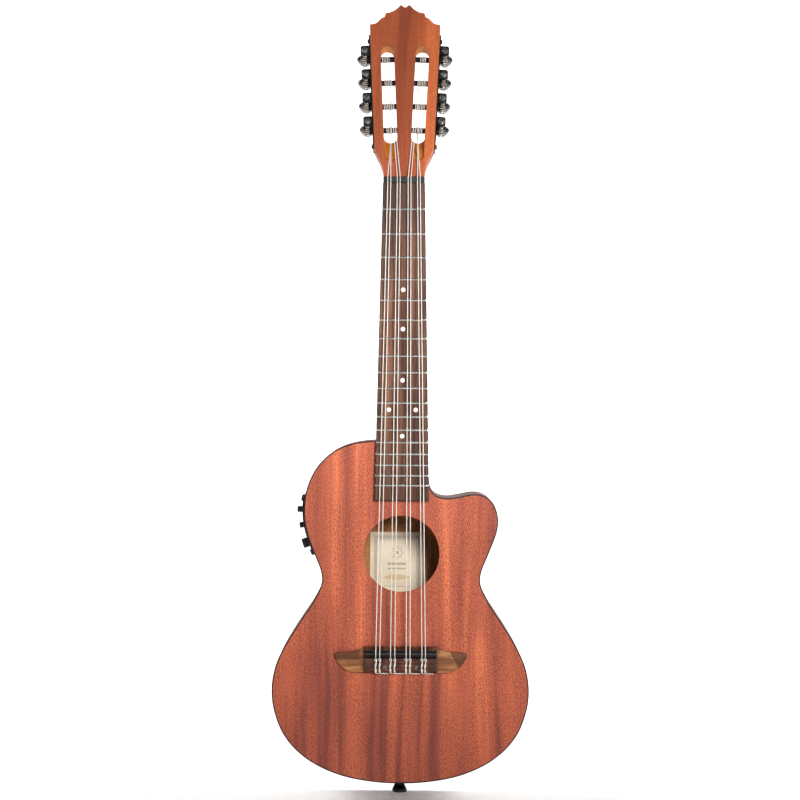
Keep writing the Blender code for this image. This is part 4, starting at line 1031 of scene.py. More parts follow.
# ------------------------------------------------------------------ body plan
STEPS = 6
bass = body_half(-1, STEPS)
treble = body_half(1, STEPS)
plan = bass[::-1][:-1] + treble[:-1]
HALF = {-1: bass, 1: treble}


def plan_inset(distance):
    return offset(plan, -distance, closed=True)


def inner(points, side, distance):
    return offset(points, distance if side < 0 else -distance)


def arc_rule(line):
    """Grain that runs along a bent rib: across is depth, along is arc length."""
    lengths, total = [0.0], 0.0
    for p, q in zip(line, line[1:]):
        total += math.dist(p, q)
        lengths.append(total)
    tree = kdtree.KDTree(len(line))
    for i, p in enumerate(line):
        tree.insert((p[0], p[1], 0.0), i)
    tree.balance()

    def rule(p):
        _, i, d = tree.find((p[0], p[2], 0.0))
        j = min(max(i, 1), len(line) - 2)
        a, b = Vector(line[j - 1]), Vector(line[j + 1])
        d1 = (b - a).normalized()
        t = (Vector((p[0], p[2])) - Vector(line[j])).dot(d1)
        return (p[1] * 1.3 + 180.0, d, lengths[j] + t)
    return rule


# ------------------------------------------------------------------ body shell
hole = circle(HOLE_R, 144, 0.0, HOLE_Z)
emit("soundboard", rounded([plan_inset(BINDING_W), hole], 0.0, SOUNDBOARD_T, flat_xz, [0.04, 0.45],
                           [0.0, 0.35]), MAHOGANY_TOP, nodes=("soundboard",), slot="body_mahogany")
emit("top_binding", rounded([plan, plan_inset(BINDING_W)], 0.0, SOUNDBOARD_T, flat_xz, [0.55, 0.03],
                            [0.0, 0.0]), BINDING, nodes=("top_binding",), slot="binding_black")


emit("back_plate", rounded([plan], BODY_DEPTH, BACK_Y0, flat_xz, 0.9, 0.0), [BACK_WOOD, BACK_INSIDE],
     nodes=("back_plate",), slot="body_mahogany",
     pick=lambda c, nrm: 1 if c[1] < BACK_Y0 + 0.05 else 0)

for side, word in ((-1, "bass"), (1, "treble")):
    line = list(HALF[side])
    line[0] = (side * 0.02, line[0][1])
    line[-1] = (side * 0.02, line[-1][1])
    a, b = inner(line, side, 0.0), inner(line, side, SIDE_T)
    b[0] = (side * 0.02, b[0][1])
    b[-1] = (side * 0.02, b[-1][1])
    emit("side_" + word, rounded([a + b[::-1]], SOUNDBOARD_T + 0.01, BACK_Y0 - 0.01, flat_xz, 0.0, 0.0,
                                 mids=(20.0, 40.0)),
         SHADED_RIB_MAHOGANY, nodes=("side_" + word,), slot="body_mahogany", rule=arc_rule(HALF[side]))

jack_hole = rounded([circle(6.3, 48)], -566.0, -525.0, lambda u, v, t: (u, v + JACK_Y, t), 0.0, 0.0)


# ------------------------------------------------------------ preamp geometry
def side_point(line, z):
    for i, (p, q) in enumerate(zip(line, line[1:])):
        if (p[1] - z) * (q[1] - z) <= 0 and abs(p[1] - q[1]) > 1e-9:
            t = (z - p[1]) / (q[1] - p[1])
            a, b = Vector(line[max(i - 1, 0)]), Vector(line[min(i + 2, len(line) - 1)])
            d = (b - a).normalized()
            out = Vector((d[1], -d[0]))
            if out[0] > 0:
                out = -out
            return Vector((p[0] + t * (q[0] - p[0]), z)), out
    raise ValueError("no point on the rib at z = %r" % z)


def panel_loft(z0, z1, y0, y1, t_in, t_out, r, corner, count=56, ends=8):
    """Curved plate on the bass rib with round corners and eased outer edges."""
    stations = []
    for k in range(count + 1):
        stations.append(z0 + (z1 - z0) * k / count)
    extra = [corner * (1 - math.cos(0.5 * math.pi * k / ends)) for k in range(1, ends)]
    s = 1.0 if z1 > z0 else -1.0
    stations += [z0 + s * e for e in extra] + [z1 - s * e for e in extra]
    stations = sorted(set(round(v, 4) for v in stations), reverse=z1 < z0)
    rings = []
    for z in stations:
        d = min(abs(z - z0), abs(z - z1))
        pull = corner - math.sqrt(max(0.0, corner ** 2 - (corner - min(d, corner)) ** 2))
        rise = t_out - (r - math.sqrt(max(0.0, r * r - (r - min(d, r)) ** 2)))
        p, out = side_point(bass, z)
        ring = [(y0 + pull, t_in)]
        for j in range(4):
            a = 0.5 * math.pi * j / 3
            ring.append((y0 + pull + r * (1 - math.cos(a)), rise - r * (1 - math.sin(a))))
        for j in range(3, -1, -1):
            a = 0.5 * math.pi * j / 3
            ring.append((y1 - pull - r * (1 - math.cos(a)), rise - r * (1 - math.sin(a))))
        ring.append((y1 - pull, t_in))
        rings.append([(p[0] + out[0] * t, y, p[1] + out[1] * t) for y, t in ring])
    return loft(rings)


def rib_frame(z, depth):
    """Matrix on the bass rib: local Z out of the rib, local Y backwards."""
    p, out = side_point(bass, z)
    zo = Vector((out[0], 0.0, out[1]))
    back = Vector((0.0, 1.0, 0.0))
    first = back.cross(zo)
    rot = Matrix((first, back, zo)).transposed().to_4x4()
    return Matrix.Translation(Vector((p[0], depth, p[1]))) @ rot


window = panel_loft(-293.0, -341.2, 15.1, 44.9, -SIDE_T - 2.0, 0.8, 0.05, 0.5, 24, 2)
cut(PIECES["side_bass_fine"][0], window, jack_hole)
cut(PIECES["side_treble_fine"][0], jack_hole)

# ------------------------------------------------------------ inside the body
emit("neck_block", rounded([[(-27.5, -241.6), (-12, -240.6), (16.5, -240.6), (19.6, -243.2), (20.9, -247.5),
                             (21.6, -262.0), (21.9, -268.0), (-27.5, -268.0)]], SOUNDBOARD_T, BACK_Y0,
                           flat_xz, 0.3, 0.3), INNER_WOOD, nodes=("neck_block",), slot="inner_wood")
tail = emit("tail_block", rounded([[(-25, -551.2), (-12.5, -552.5), (0, -552.8), (12.5, -552.5),
                                    (25, -551.2), (25, -534.5), (23.5, -533), (-23.5, -533), (-25, -534.5)]],
                                  SOUNDBOARD_T, BACK_Y0, flat_xz, 0.3, 0.3),
            INNER_WOOD, nodes=("tail_block",), slot="inner_wood")
cut(tail, jack_hole)


def kerfed(run, side, d0, d1, pitch=5.5, width=1.0, depth=0.62):
    """Plan of a bent lining, sawn from its inner edge so that it bends."""
    outer = inner(run, side, d0)
    inn = inner(run, side, d1)
    root = inner(run, side, d1 - (d1 - d0) * depth)
    lengths = [0.0]
    for p, q in zip(inn, inn[1:]):
        lengths.append(lengths[-1] + math.dist(p, q))

    def at(line, s):
        for i in range(len(lengths) - 1):
            if lengths[i + 1] >= s:
                t = (s - lengths[i]) / max(1e-9, lengths[i + 1] - lengths[i])
                return tuple(Vector(line[i]) * (1 - t) + Vector(line[i + 1]) * t)
        return tuple(line[-1])
    edge = [inn[0]]
    s = 2.5
    marks = sorted([(v, 0) for v in lengths[1:-1]])
    stops = []
    while s < lengths[-1] - 3.0:
        stops.append(s)
        s += pitch
    events = [(v, 'p') for v in lengths[1:-1] if not any(abs(v - k) < width for k in stops)]
    events += [(k, 'k') for k in stops]
    for v, kind in sorted(events):
        if kind == 'p':
            edge.append(at(inn, v))
        else:
            edge += [at(inn, v - width / 2), at(root, v - width / 2), at(root, v + width / 2),
                     at(inn, v + width / 2)]
    edge.append(inn[-1])
    return [outer + edge[::-1]]


for side, word in ((-1, "bass"), (1, "treble")):
    line = HALF[side]
    start = next(i for i, p in enumerate(line) if (abs(p[0]) > 30.0 if side < 0 else p[1] < -270.0))
    stop = max(i for i, p in enumerate(line) if abs(p[0]) > 27.5)
    run = line[start:stop + 1:2]
    for place_, y0, y1 in (("top", SOUNDBOARD_T + 0.02, 8.5), ("back", 61.0, BACK_Y0 - 0.02)):
        emit("lining_%s_%s" % (place_, word), rounded(kerfed(run, side, SIDE_T + 0.05, 6.8), y0, y1, flat_xz,
                                                      0.0, 0.0), SPRUCE, nodes=("lining_%s_%s" % (place_, word),),
             slot="inner_wood", rule=arc_rule(line), weighted=False)


def cross_rule(p):
    return (p[2], p[1], p[0])


def brace(name, x0, x1, z, width, y_glue, y_free):
    """Cross brace with a rounded back and scooped ends."""
    rings = []
    count = 48
    low = y_glue + 0.30 * (y_free - y_glue)
    for k in range(count + 1):
        x = x0 + (x1 - x0) * k / count
        d = min(x - x0, x1 - x) / 18.0
        t = min(1.0, d)
        h = low + (y_free - low) * (t * t * (3 - 2 * t))
        w = width / 2
        ring = [(x, y_glue, z - w)]
        for j in range(9):
            a = math.pi * j / 8
            ring.append((x, y_glue + (h - y_glue) * (0.72 + 0.28 * math.sin(a)), z - w * math.cos(a)))
        ring.append((x, y_glue, z + w))
        rings.append(ring)
    emit(name, loft(rings), SPRUCE, nodes=(name,), slot="inner_wood", rule=cross_rule)


TOP_GLUE = SOUNDBOARD_T + 0.02
BACK_GLUE = BACK_Y0 - 0.02
brace("soundboard_brace_upper", -81.0, 72.0, -302.0, 6.0, TOP_GLUE, 11.0)
brace("soundboard_brace_lower", -73.0, 73.0, -391.0, 6.0, TOP_GLUE, 11.0)
brace("back_brace_upper", -81.0, 74.0, -306.0, 7.0, BACK_GLUE, 57.0)
brace("back_brace_lower", -111.0, 111.0, -470.0, 7.0, BACK_GLUE, 57.0)
emit("bridge_plate", box_mm(-50, 50, TOP_GLUE, TOP_GLUE + 2.0, -457, -424, 0.6), INNER_WOOD,
     nodes=("bridge_plate",), slot="inner_wood", rule=cross_rule)
emit("label", rounded([round_rect(LABEL_X[0], LABEL_X[1], LABEL_Z[0], LABEL_Z[1], 0.4, 2)], BACK_Y0 - 0.24,
                      BACK_Y0 - 0.02, flat_xz, 0.05, 0.0), PAPER, nodes=("label",), slot="label_paper")
emit("battery", join(box_mm(-74.5, -30.2, 49.8, BACK_GLUE, -297.0, -271.0, 1.2, 3),
                     rounded([circle(2.9, 24, 56.0, -290.0)], -30.4, -28.4, lambda y, z, t: (t, y, z), 0.0, 0.3),
                     rounded([circle(2.2, 24, 56.0, -277.6)], -30.4, -28.4, lambda y, z, t: (t, y, z), 0.0, 0.3)),
     [CELL, CELL_METAL], nodes=("battery",), slot="battery_case",
     pick=lambda c, nrm: 1 if c[0] > -33.5 else 0)

# ------------------------------------------------------------ end-pin jack
jack_outer = soften([(3.3, -568.6), (6.9, -568.6), (6.9, -565.6), (4.7, -561.4), (4.7, -558.4), (7.4, -557.4),
                     (7.4, -555.9), (6.0, -555.9), (6.0, -532.0), (5.4, -530.5), (5.4, -512.0), (3.3, -512.0)],
                    0.7, 4)
emit("end_pin_jack", turned(jack_outer, 72, lambda u, v, t: (u, v + JACK_Y, t), closed=True), BLACK_METAL,
     nodes=("end_pin_jack",), slot="black_metal")


# ------------------------------------------------------------------- neck
def board_half(z):
    return BOARD_HALF_NUT + (BOARD_HALF_END - BOARD_HALF_NUT) * z / BOARD_END


def neck_ring(z, half, depth, power, taper, tilted=False, count=40):
    ring = []
    for j in range(count + 1):
        a = math.pi * j / count
        c, s = math.cos(a), math.sin(a)
        y = depth * abs(s) ** (power if power < 0.8 else 0.9)
        x = half * math.copysign(abs(c) ** power, c) * (1.0 - taper * (y / depth) ** 1.2)
        ring.append((x, y, z - math.tan(HEAD_TILT) * y if tilted else z))
    return ring


NECK_STATIONS = ((-8.0, 13.5, 0.50, 0.0), (-24.0, 13.4, 0.85, 0.0), (-110.0, 14.2, 0.85, 0.0),
                 (-180.0, 15.2, 0.85, 0.0), (-198.0, 17.0, 0.85, 0.03), (-208.0, 21.5, 0.82, 0.1),
                 (-215.0, 29.5, 0.78, 0.2), (-220.0, 41.0, 0.74, 0.3), (-224.0, 55.0, 0.7, 0.37),
                 (-227.5, 67.15, 0.62, 0.42), (BODY_TOP + 0.05, 67.15, 0.5, 0.45))
neck_rings = [neck_ring(5.15, NUT_HALF - 0.1, 13.45, 0.35, 0.0, True)]
for k in range(1, 4):
    t = k / 4
    e = t * t * (3 - 2 * t)
    neck_rings.append([tuple(Vector(p) * (1 - e) + Vector(q) * e) for p, q in
                       zip(neck_rings[0], neck_ring(-8.0, board_half(-8.0) - 0.1, 13.5, 0.50, 0.0))])
fine = []
for a, b in zip(NECK_STATIONS, NECK_STATIONS[1:]):
    fine.append((a, b))
heel = spline([(z, d) for z, d, _, _ in NECK_STATIONS[4:-1]], 5)
for z, depth, power, taper in NECK_STATIONS[:4]:
    neck_rings.append(neck_ring(z, board_half(z) - 0.1, depth, power, taper))
shape_at = [(d, p, t) for _, d, p, t in NECK_STATIONS]
for z, depth in heel:
    for (da, pa, ta), (db, pb, tb) in zip(shape_at, shape_at[1:]):
        if da <= depth <= db + 1e-6:
            f = (depth - da) / max(1e-6, db - da)
            break
    else:
        pa, ta, pb, tb, f = 0.85, 0.0, 0.85, 0.0, 0.0
    neck_rings.append(neck_ring(z, board_half(z) - 0.1, depth, pa + (pb - pa) * f, ta + (tb - ta) * f))
z, depth, power, taper = NECK_STATIONS[-1]
neck_rings.append(neck_ring(-233.0, board_half(-233.0) - 0.1, depth, 0.56, 0.435))
neck_rings.append(neck_ring(z, board_half(z) - 0.1, depth, power, taper))
emit("neck", loft(neck_rings), NECK_WOOD, nodes=("neck",), slot="neck_mahogany", smooth=40.0)
cap_line = spline([(13.0, -237.9), (12.9, -235.5), (12.2, -231.6), (9.4, -228.4), (4.7, -226.7), (0.0, -226.4),
                   (-4.7, -226.7), (-9.4, -228.4), (-12.2, -231.6), (-12.9, -235.5), (-13.0, -237.9)], 5)
emit("heel_cap", rounded([cap_line], BODY_DEPTH, 67.16, flat_xz, 0.7, 0.05), PLASTIC, nodes=("heel_cap",),
     slot="black_plastic")

# ------------------------------------------------------------- fingerboard
board_outline = []
for side in (-1, 1):
    zs = [-0.02 + (BOARD_END + 0.02) * k / 24 for k in range(25)]
    edge = [(side * board_half(z), z) for z in zs]
    board_outline += edge if side < 0 else edge[::-1]
emit("fingerboard", rounded([board_outline], BOARD_FACE, -0.02, flat_xz, 0.45, 0.0), FINGERBOARD,
     nodes=("fingerboard",), slot="fingerboard_walnut")


def fret_z(number):
    return -SCALE_LENGTH * (1.0 - 2.0 ** (-number / 12.0))


for number in range(1, FRET_COUNT + 1):
    z = fret_z(number)
    half = board_half(z) + 0.06
    rings = []
    for x, h in ((-half, 0.10), (-half + 0.12, 0.42), (-half + 0.32, 0.74), (-half + 0.62, 0.95),
                 (-half + 0.95, 1.0), (half - 0.95, 1.0), (half - 0.62, 0.95), (half - 0.32, 0.74),
                 (half - 0.12, 0.42), (half, 0.10)):
        ring = [(x, BOARD_FACE + 0.12, z + 1.08), ]
        for j in range(9):
            a = math.pi * j / 8
            ring.append((x, BOARD_FACE - FRET_H * h * math.sin(a) ** 0.85, z + 1.08 * math.cos(a)))
        ring.append((x, BOARD_FACE + 0.12, z - 1.08))
        rings.append(ring)
    emit("fret_%02d" % number, loft(rings), FRET_METAL, slot="black_metal", smooth=50.0)

for name, x, n0 in (("dot_05", 0.0, 5), ("dot_07", 0.0, 7), ("dot_10", 0.0, 10), ("dot_12_bass", -12.4, 12),
                    ("dot_12_treble", 12.4, 12), ("dot_14", 0.0, 14)):
    z = 0.5 * (fret_z(n0) + fret_z(n0 - 1))
    emit(name, rounded([circle(2.05, 40, x, z)], BOARD_FACE - 0.04, BOARD_FACE + 0.6, flat_xz, 0.04, 0.0),
         INLAY, slot="label_paper")

# nut: a rounded bar with a round-bottomed notch for each string
nut_profile = [(-NUT_HALF, -0.02), (-NUT_HALF, -7.7)]
for x in STRING_NUT_X:
    nut_profile += [(x - 0.62, -7.7), (x - 0.5, -7.2)]
    for j in range(1, 7):
        a = math.pi * j / 7
        nut_profile.append((x - 0.5 * math.cos(a), -7.12 + 0.5 * math.sin(a)))
    nut_profile += [(x + 0.5, -7.2), (x + 0.62, -7.7)]
nut_profile += [(NUT_HALF, -7.7), (NUT_HALF, -0.02)]
emit("nut", rounded([nut_profile], 0.02, NUT_LENGTH, lambda x, y, t: (x, y, t), 0.22, 0.22, 3), NUT_BLACK,
     nodes=("nut",), slot="black_bone")

# ---------------------------------------------------------------- headstock
lower_curve = spline([(19.1, HEAD_START), (19.0, 5.0), (20.2, 11.0), (22.2, 17.0), (25.1, 23.0), (27.7, 29.0)],
                     6, (19.2, -3.0), (29.0, 33.5))
flank_top = [(32.38 + 0.9 * math.cos(math.radians(a)), 152.3 + 0.9 * math.sin(math.radians(a)))
             for a in (0, 17, 34, 51, 68)]
flank_top += spline([(32.46, 153.2), (31.2, 153.35), (29.1, 153.75), (26.4, 155.2), (24.0, 157.7), (22.4, 159.4),
                     (21.0, 160.2), (19.9, 160.45)], 4)
crown = spline([(19.7, 160.55), (19.2, 162.0), (18.8, 163.6), (18.0, 164.8), (16.8, 165.25), (15.0, 165.2),
                (11.6, 166.7), (8.0, 169.2), (5.9, 171.4), (4.7, 172.7), (3.9, 173.0), (3.1, 172.8),
                (2.2, 171.9), (1.2, 171.0), (0.0, 170.6)], 4)
flank_run = [(27.7 + (33.28 - 27.7) * k / 12, 29.0 + (151.6 - 29.0) * k / 12) for k in range(1, 12)]
half_outline = lower_curve + flank_run + flank_top + crown
head_outline = half_outline[:-1] + [(0.0, 170.6)] + [(-x, s) for x, s in half_outline[-2::-1]]


def slot_loop(side, depth, seg=16):
    low = SLOT_RAMP + depth * (SLOT_THROUGH - SLOT_RAMP) / HEAD_T + SLOT_HALF
    high = SLOT_END - SLOT_HALF
    ring = []
    for i in range(seg + 1):
        a = math.pi * i / seg
        ring.append((SLOT_HALF * math.cos(a), high + SLOT_HALF * math.sin(a)))
    for i in range(seg + 1):
        a = math.pi + math.pi * i / seg
        ring.append((SLOT_HALF * math.cos(a), low + SLOT_HALF * math.sin(a)))
    th = side * SIDE_ANGLE
    out = []
    for x, u in ring:
        x -= side * SLOT_W
        out.append((side * FLANK_X + x * math.cos(th) + u * math.sin(th),
                    FLANK_S - x * math.sin(th) + u * math.cos(th)))
    return out


def head_loops(depth):
    return [head_outline, slot_loop(-1, depth), slot_loop(1, depth)]


def head_put(x, s, d):
    return (x, d, s)


def head_rule(p):
    local = HEAD.inverted() @ Vector(p)
    return (local[0], local[1] + 90.0, local[2])


def slot_face(c, nrm):
    """Faces inside the string slots, which show the lighter heartwood."""
    local = HEAD.inverted() @ c
    direction = HEAD.inverted().to_3x3() @ nrm
    if abs(direction[1]) > 0.93 or abs(local[0]) < 2.0:
        return 0
    for side in (-1, 1):
        q = FLANK[side].inverted() @ c
        if abs(side * q[0] + SLOT_W) < SLOT_HALF + 0.35 and SLOT_RAMP - 1.0 < q[2] < SLOT_END + 1.0:
            return 1
    return 0


emit("headstock_veneer", rounded(head_loops, 0.0, VENEER_T, head_put, [0.5, 0.55, 0.55], 0.0, 4),
     [HEAD_FACE, SLOT_WOOD], nodes=("headstock_veneer",), slot="body_mahogany", where=HEAD, rule=head_rule,
     pick=lambda c, nrm: 0)
head = emit("headstock", rounded(head_loops, VENEER_T + 0.01, HEAD_T, head_put, 0.0, [0.5, 0.5, 0.5], 4,
                                 mids=(5.0, 9.0, 13.0)),
            [NECK_WOOD, SLOT_WOOD], nodes=("headstock",), slot="neck_mahogany", where=HEAD, rule=head_rule,
            pick=slot_face)
bores = []
for side in (-1, 1):
    for u in ROLLER_U:
        v, f = rounded([circle(3.1, 32)], -26.2, 4.0, lambda p, q, t, s=side, h=u: (s * t, ROLLER_D + p, h + q), 0.0, 0.0)
        bores.append(([tuple(FLANK[side] @ Vector(p)) for p in v], f))
cut(head, *bores)


# ------------------------------------------------------------------ tuners
PLATE_U = (-0.2, 114.7)
PLATE_D = (1.0, 16.4)


def lug_outline(u):
    c = u + WORM_UP
    h = 4.9
    pts = [(0.6, c - h)]
    for cx, cz, a0 in ((9.5 - 2.6, c - h + 2.6, -90.0), (9.5 - 2.6, c + h - 2.6, 0.0)):
        for k in range(9):
            a = math.radians(a0 + 90.0 * k / 8)
            pts.append((cx + 2.6 * math.cos(a), cz + 2.6 * math.sin(a)))
    pts.append((0.6, c + h))
    return pts


def head_screw(side, u, d, radius=2.3, height=1.5):
    """Pan-head screw on the plate with a cross recess."""
    prof = [(radius, 1.2), (radius, 1.5), (radius * 0.96, 1.2 + height * 0.55), (radius * 0.72, 1.2 + height * 0.9),
            (radius * 0.35, 1.2 + height), (0.0, 1.2 + height)]
    shape = turned(prof, 32, lambda p, q, t: (side * t, d + p, u + q))
    return shape


for side, word in ((-1, "bass"), (1, "treble")):
    sheet = round_rect(PLATE_U[0], PLATE_U[1], PLATE_D[0], PLATE_D[1], 2.2, 6)
    holes = [circle(3.15, 32, u, ROLLER_D) for u in ROLLER_U]
    parts = [rounded([sheet] + holes, 1.3, 0.02, lambda u, d, t: (side * t, d, u), 0.18, 0.0, 2)]
    for u in ROLLER_U:
        for d0, d1 in ((2.0, 4.2), (13.8, 16.2)):
            parts.append(rounded([lug_outline(u), circle(2.35, 32, WORM_OUT, u + WORM_UP)], d0, d1,
                                 lambda o, h, t: (side * o, t, h), [0.45, 0.1], [0.45, 0.1], 3))
            # curl where the lug is bent up from the plate
            c = u + WORM_UP
            s = 1.0 if d0 < 9 else -1.0
            base = d1 if d0 < 9 else d0
            curl = [(1.25, base - 0.05 * s), (2.5, base - 0.05 * s), (2.0, base + 0.16 * s), (1.6, base + 0.42 * s),
                    (1.42, base + 0.8 * s), (1.25, base + 1.2 * s)]
            parts.append(rounded([curl], c - 4.2, c + 4.2, lambda o, d, t: (side * o, d, t), 0.0, 0.0))
    emit("tuner_plate_" + word, join(*parts), BLACK_METAL, nodes=("tuner_plate_" + word,), slot="black_metal",
         where=FLANK[side])
    rings = []
    for u in ROLLER_U:
        prof = soften([(2.35, 1.55), (3.35, 1.55), (3.35, 2.1), (2.35, 2.1)], 0.18, 3)
        rings.append(turned(prof, 40, lambda p, q, t, h=u: (side * (WORM_OUT + p), t, h + WORM_UP + q), closed=True))
    emit("worm_bushings_" + word, join(*rings), LUG_RING, slot="black_metal", where=FLANK[side])
    screws, slots_ = [], []
    for u in (4.4, 110.4):
        screws.append(head_screw(side, u, 8.7))
    obj = emit("plate_screws_" + word, join(*screws), BLACK_METAL, slot="black_metal", where=FLANK[side], smooth=50.0)
    recess = []
    for u in (4.4, 110.4):
        for w, l in ((0.3, 1.35), (1.35, 0.3)):
            v, f = rounded([[(u - w, 8.7 - l), (u + w, 8.7 - l), (u + w, 8.7 + l), (u - w, 8.7 + l)]], 2.15, 3.4,
                           lambda uu, d, t: (side * t, d, uu), 0.0, 0.0)
            recess.append((v, f))
    cut(obj, *recess, where=FLANK[side])


def worm_surface():
    """Worm with a rounded helical thread, its journals and shaft; local Z backwards."""
    count = 48
    zs = [1.62, 1.68, 1.85, 2.2, 4.2]
    zs += [4.6 + 0.1 * k for k in range(int((13.4 - 4.6) / 0.1) + 1)]
    zs += [13.8, 16.2, 18.4]
    z0 = -0.5 * WORM_TURNS * WORM_LEAD
    rows = []
    for d in zs:
        t = d - ROLLER_D
        row = []
        for j in range(count):
            a = 2 * math.pi * j / count
            r = WORM_CORE
            if d <= 1.7:
                r = WORM_CORE - 0.35 + (d - 1.62) * 3.0
            elif 4.6 <= d <= 13.4:
                turn = (t - z0) / WORM_LEAD - a / (2 * math.pi)
                near = abs(turn - round(turn)) * WORM_LEAD
                k = round(turn) + a / (2 * math.pi)
                fade = max(0.0, min(1.0, k / 0.35 + 0.25, (WORM_TURNS - 0.1 - k) / 0.35 + 0.25))
                lift = max(0.0, min(1.0, (0.60 - near) / 0.38))
                r = WORM_CORE + fade * (WORM_TIP - WORM_CORE) * (lift * lift * (3 - 2 * lift))
            row.append((r * math.cos(a), r * math.sin(a), t))
        rows.append(row)
    return loft(rows)


def button_surface():
    """Flat oval button that flares from its shaft and is eased at the far end."""
    # half thickness, half width, distance behind the headstock's face
    stations = [(1.9, 1.9, 17.9), (3.0, 3.0, 18.2), (3.15, 3.2, 18.7), (3.3, 4.4, 19.3), (3.5, 6.2, 20.2),
                (3.7, 7.4, 21.5), (3.85, 7.65, 23.4), (3.9, 7.45, 26.0), (3.85, 6.8, 29.0), (3.7, 5.8, 32.0),
                (3.3, 4.5, 34.6), (2.6, 3.0, 36.4), (1.5, 1.6, 37.4), (0.5, 0.6, 37.7)]
    dense = spline([(a, b, c) for a, b, c in stations], 4)
    count = 40
    rows = []
    for thick, wide, d in dense:
        row = []
        for j in range(count):
            a = 2 * math.pi * j / count
            c, s = math.cos(a), math.sin(a)
            row.append((thick * math.copysign(abs(c) ** 0.9, c), wide * math.copysign(abs(s) ** 1.15, s), d - ROLLER_D))
        rows.append(row)
    return loft(rows)


def wheel_surface(half=1.6):
    """Worm wheel with rounded, slightly helical teeth and a hub recess."""
    per = 12
    count = GEAR_TEETH * per
    twist = 0.0298

    def radius(phase, scale):
        # phase 0 at a tooth's centre
        p = abs(((phase + 0.5) % 1.0) - 0.5) * 2.0
        lift = max(0.0, min(1.0, (0.72 - p) / 0.5))
        return GEAR_ROOT + (GEAR_TIP - GEAR_ROOT) * scale * (lift * lift * (3 - 2 * lift))
    rings = []
    for x, scale, shrink in ((-half, 0.0, 1.9), (-half, 0.80, 0.25), (-half + 0.25, 1.0, 0.0), (0.0, 0.93, 0.0),
                             (half - 0.25, 1.0, 0.0), (half, 0.80, 0.25), (half, 0.0, 1.9)):
        ring = []
        for j in range(count):
            a = math.pi / 2 + 2 * math.pi * (j / count) + twist * x
            phase = GEAR_TEETH * j / count + 0.5
            r = radius(phase, scale) - shrink
            ring.append((x, r * math.cos(a), r * math.sin(a)))
        rings.append(ring)
    return loft(rings)


def barrel_surface():
    prof = soften([(0.0, -25.8), (2.4, -25.8), (ROLLER_R, -25.4), (ROLLER_R, -22.6), (ROLLER_R - 0.05, -22.4),
                   (ROLLER_R - 0.05, -8.8), (ROLLER_R, -8.6), (ROLLER_R, 1.7), (3.5, 1.7), (3.5, WORM_OUT - 1.6),
                   (2.0, WORM_OUT - 1.6), (2.0, WORM_OUT + 1.6), (0.0, WORM_OUT + 1.6)], 0.15, 2)
    return turned(prof, 48, lambda p, q, t: (t, p, q))


def wheel_screw_surface():
    prof = [(2.45, WORM_OUT + 1.58), (2.45, WORM_OUT + 1.9), (2.3, WORM_OUT + 2.25), (1.7, WORM_OUT + 2.55),
            (0.9, WORM_OUT + 2.68), (0.0, WORM_OUT + 2.7)]
    return turned(prof, 36, lambda p, q, t: (t, p, q))


WORM, BUTTON, WHEEL = worm_surface(), button_surface(), wheel_surface()
BARREL, WHEEL_SCREW = barrel_surface(), wheel_screw_surface()
SPINDLE_AXES = Matrix(((0, 1, 0), (0, 0, 1), (1, 0, 0))).to_4x4()
for side, word in ((-1, "bass"), (1, "treble")):
    for k, u in enumerate(ROLLER_U):
        number = k + 1 if side < 0 else 8 - k
        knob, roller = "knob_%d" % number, "roller_%d" % number
        at = FLANK[side] @ Matrix.Translation(Vector((side * WORM_OUT, ROLLER_D, u + WORM_UP))) @ SPINDLE_AXES

        def local_rule(p, inv=at.inverted(), n=number):
            q = inv @ Vector(p)
            return (q[0] + 37.0 * n, q[1] + 11.0 * n, q[2] + 23.0 * n)
        emit("worm_%d" % number, WORM, WORM_METAL, knob, slot="black_metal", where=at, rule=local_rule, smooth=60.0,
             weighted=False)
        emit("tuner_knob_%d" % number, BUTTON, PEARL, knob, ("tuner_knob_%d" % number,), "pearl_button", at,
             rule=local_rule, smooth=60.0, weighted=False)
        turn = Matrix.Rotation(math.pi, 4, 'Z') if side < 0 else Matrix.Identity(4)
        hub = FLANK[side] @ Matrix.Translation(Vector((0.0, ROLLER_D, u))) @ turn
        emit("tuner_roller_%d" % number, BARREL, ROLLER_BLACK, roller, ("tuner_roller_%d" % number,), "black_metal",
             hub, rule=local_rule)
        wheel_at = FLANK[side] @ Matrix.Translation(Vector((side * WORM_OUT, ROLLER_D, u)))

        def wheel_rule(p, inv=wheel_at.inverted()):
            q = inv @ Vector(p)
            return (q[0], math.hypot(q[1], q[2]), math.atan2(q[2], q[1]))
        emit("worm_wheel_%d" % number, WHEEL, BRASS, roller, slot="black_metal", where=wheel_at, rule=wheel_rule,
             smooth=50.0, weighted=False)
        screw = emit("wheel_screw_%d" % number, WHEEL_SCREW, LUG_RING, roller, slot="black_metal", where=hub,
                     rule=local_rule, smooth=50.0)
        cut(screw, rounded([[(-0.32, -3.0), (0.32, -3.0), (0.32, 3.0), (-0.32, 3.0)]], WORM_OUT + 2.15, WORM_OUT + 3.2,
                           lambda p, q, t: (t, p, q), 0.0, 0.0), where=hub)

# ------------------------------------------------------------------ bridge
BLOCK_PROFILE = [(-428.2, -0.02), (-428.2, -3.2), (-430.2, -7.2), (-431.4, -8.2), (-432.6, -8.2),
                 (-432.6, -3.0), (-435.8, -3.0), (-435.8, -8.2), (-437.0, -8.2), (-438.6, -4.6),
                 (-440.6, -4.6), (-440.6, -8.0), (-450.2, -8.0), (-452.6, -3.4), (-452.6, -0.02)]


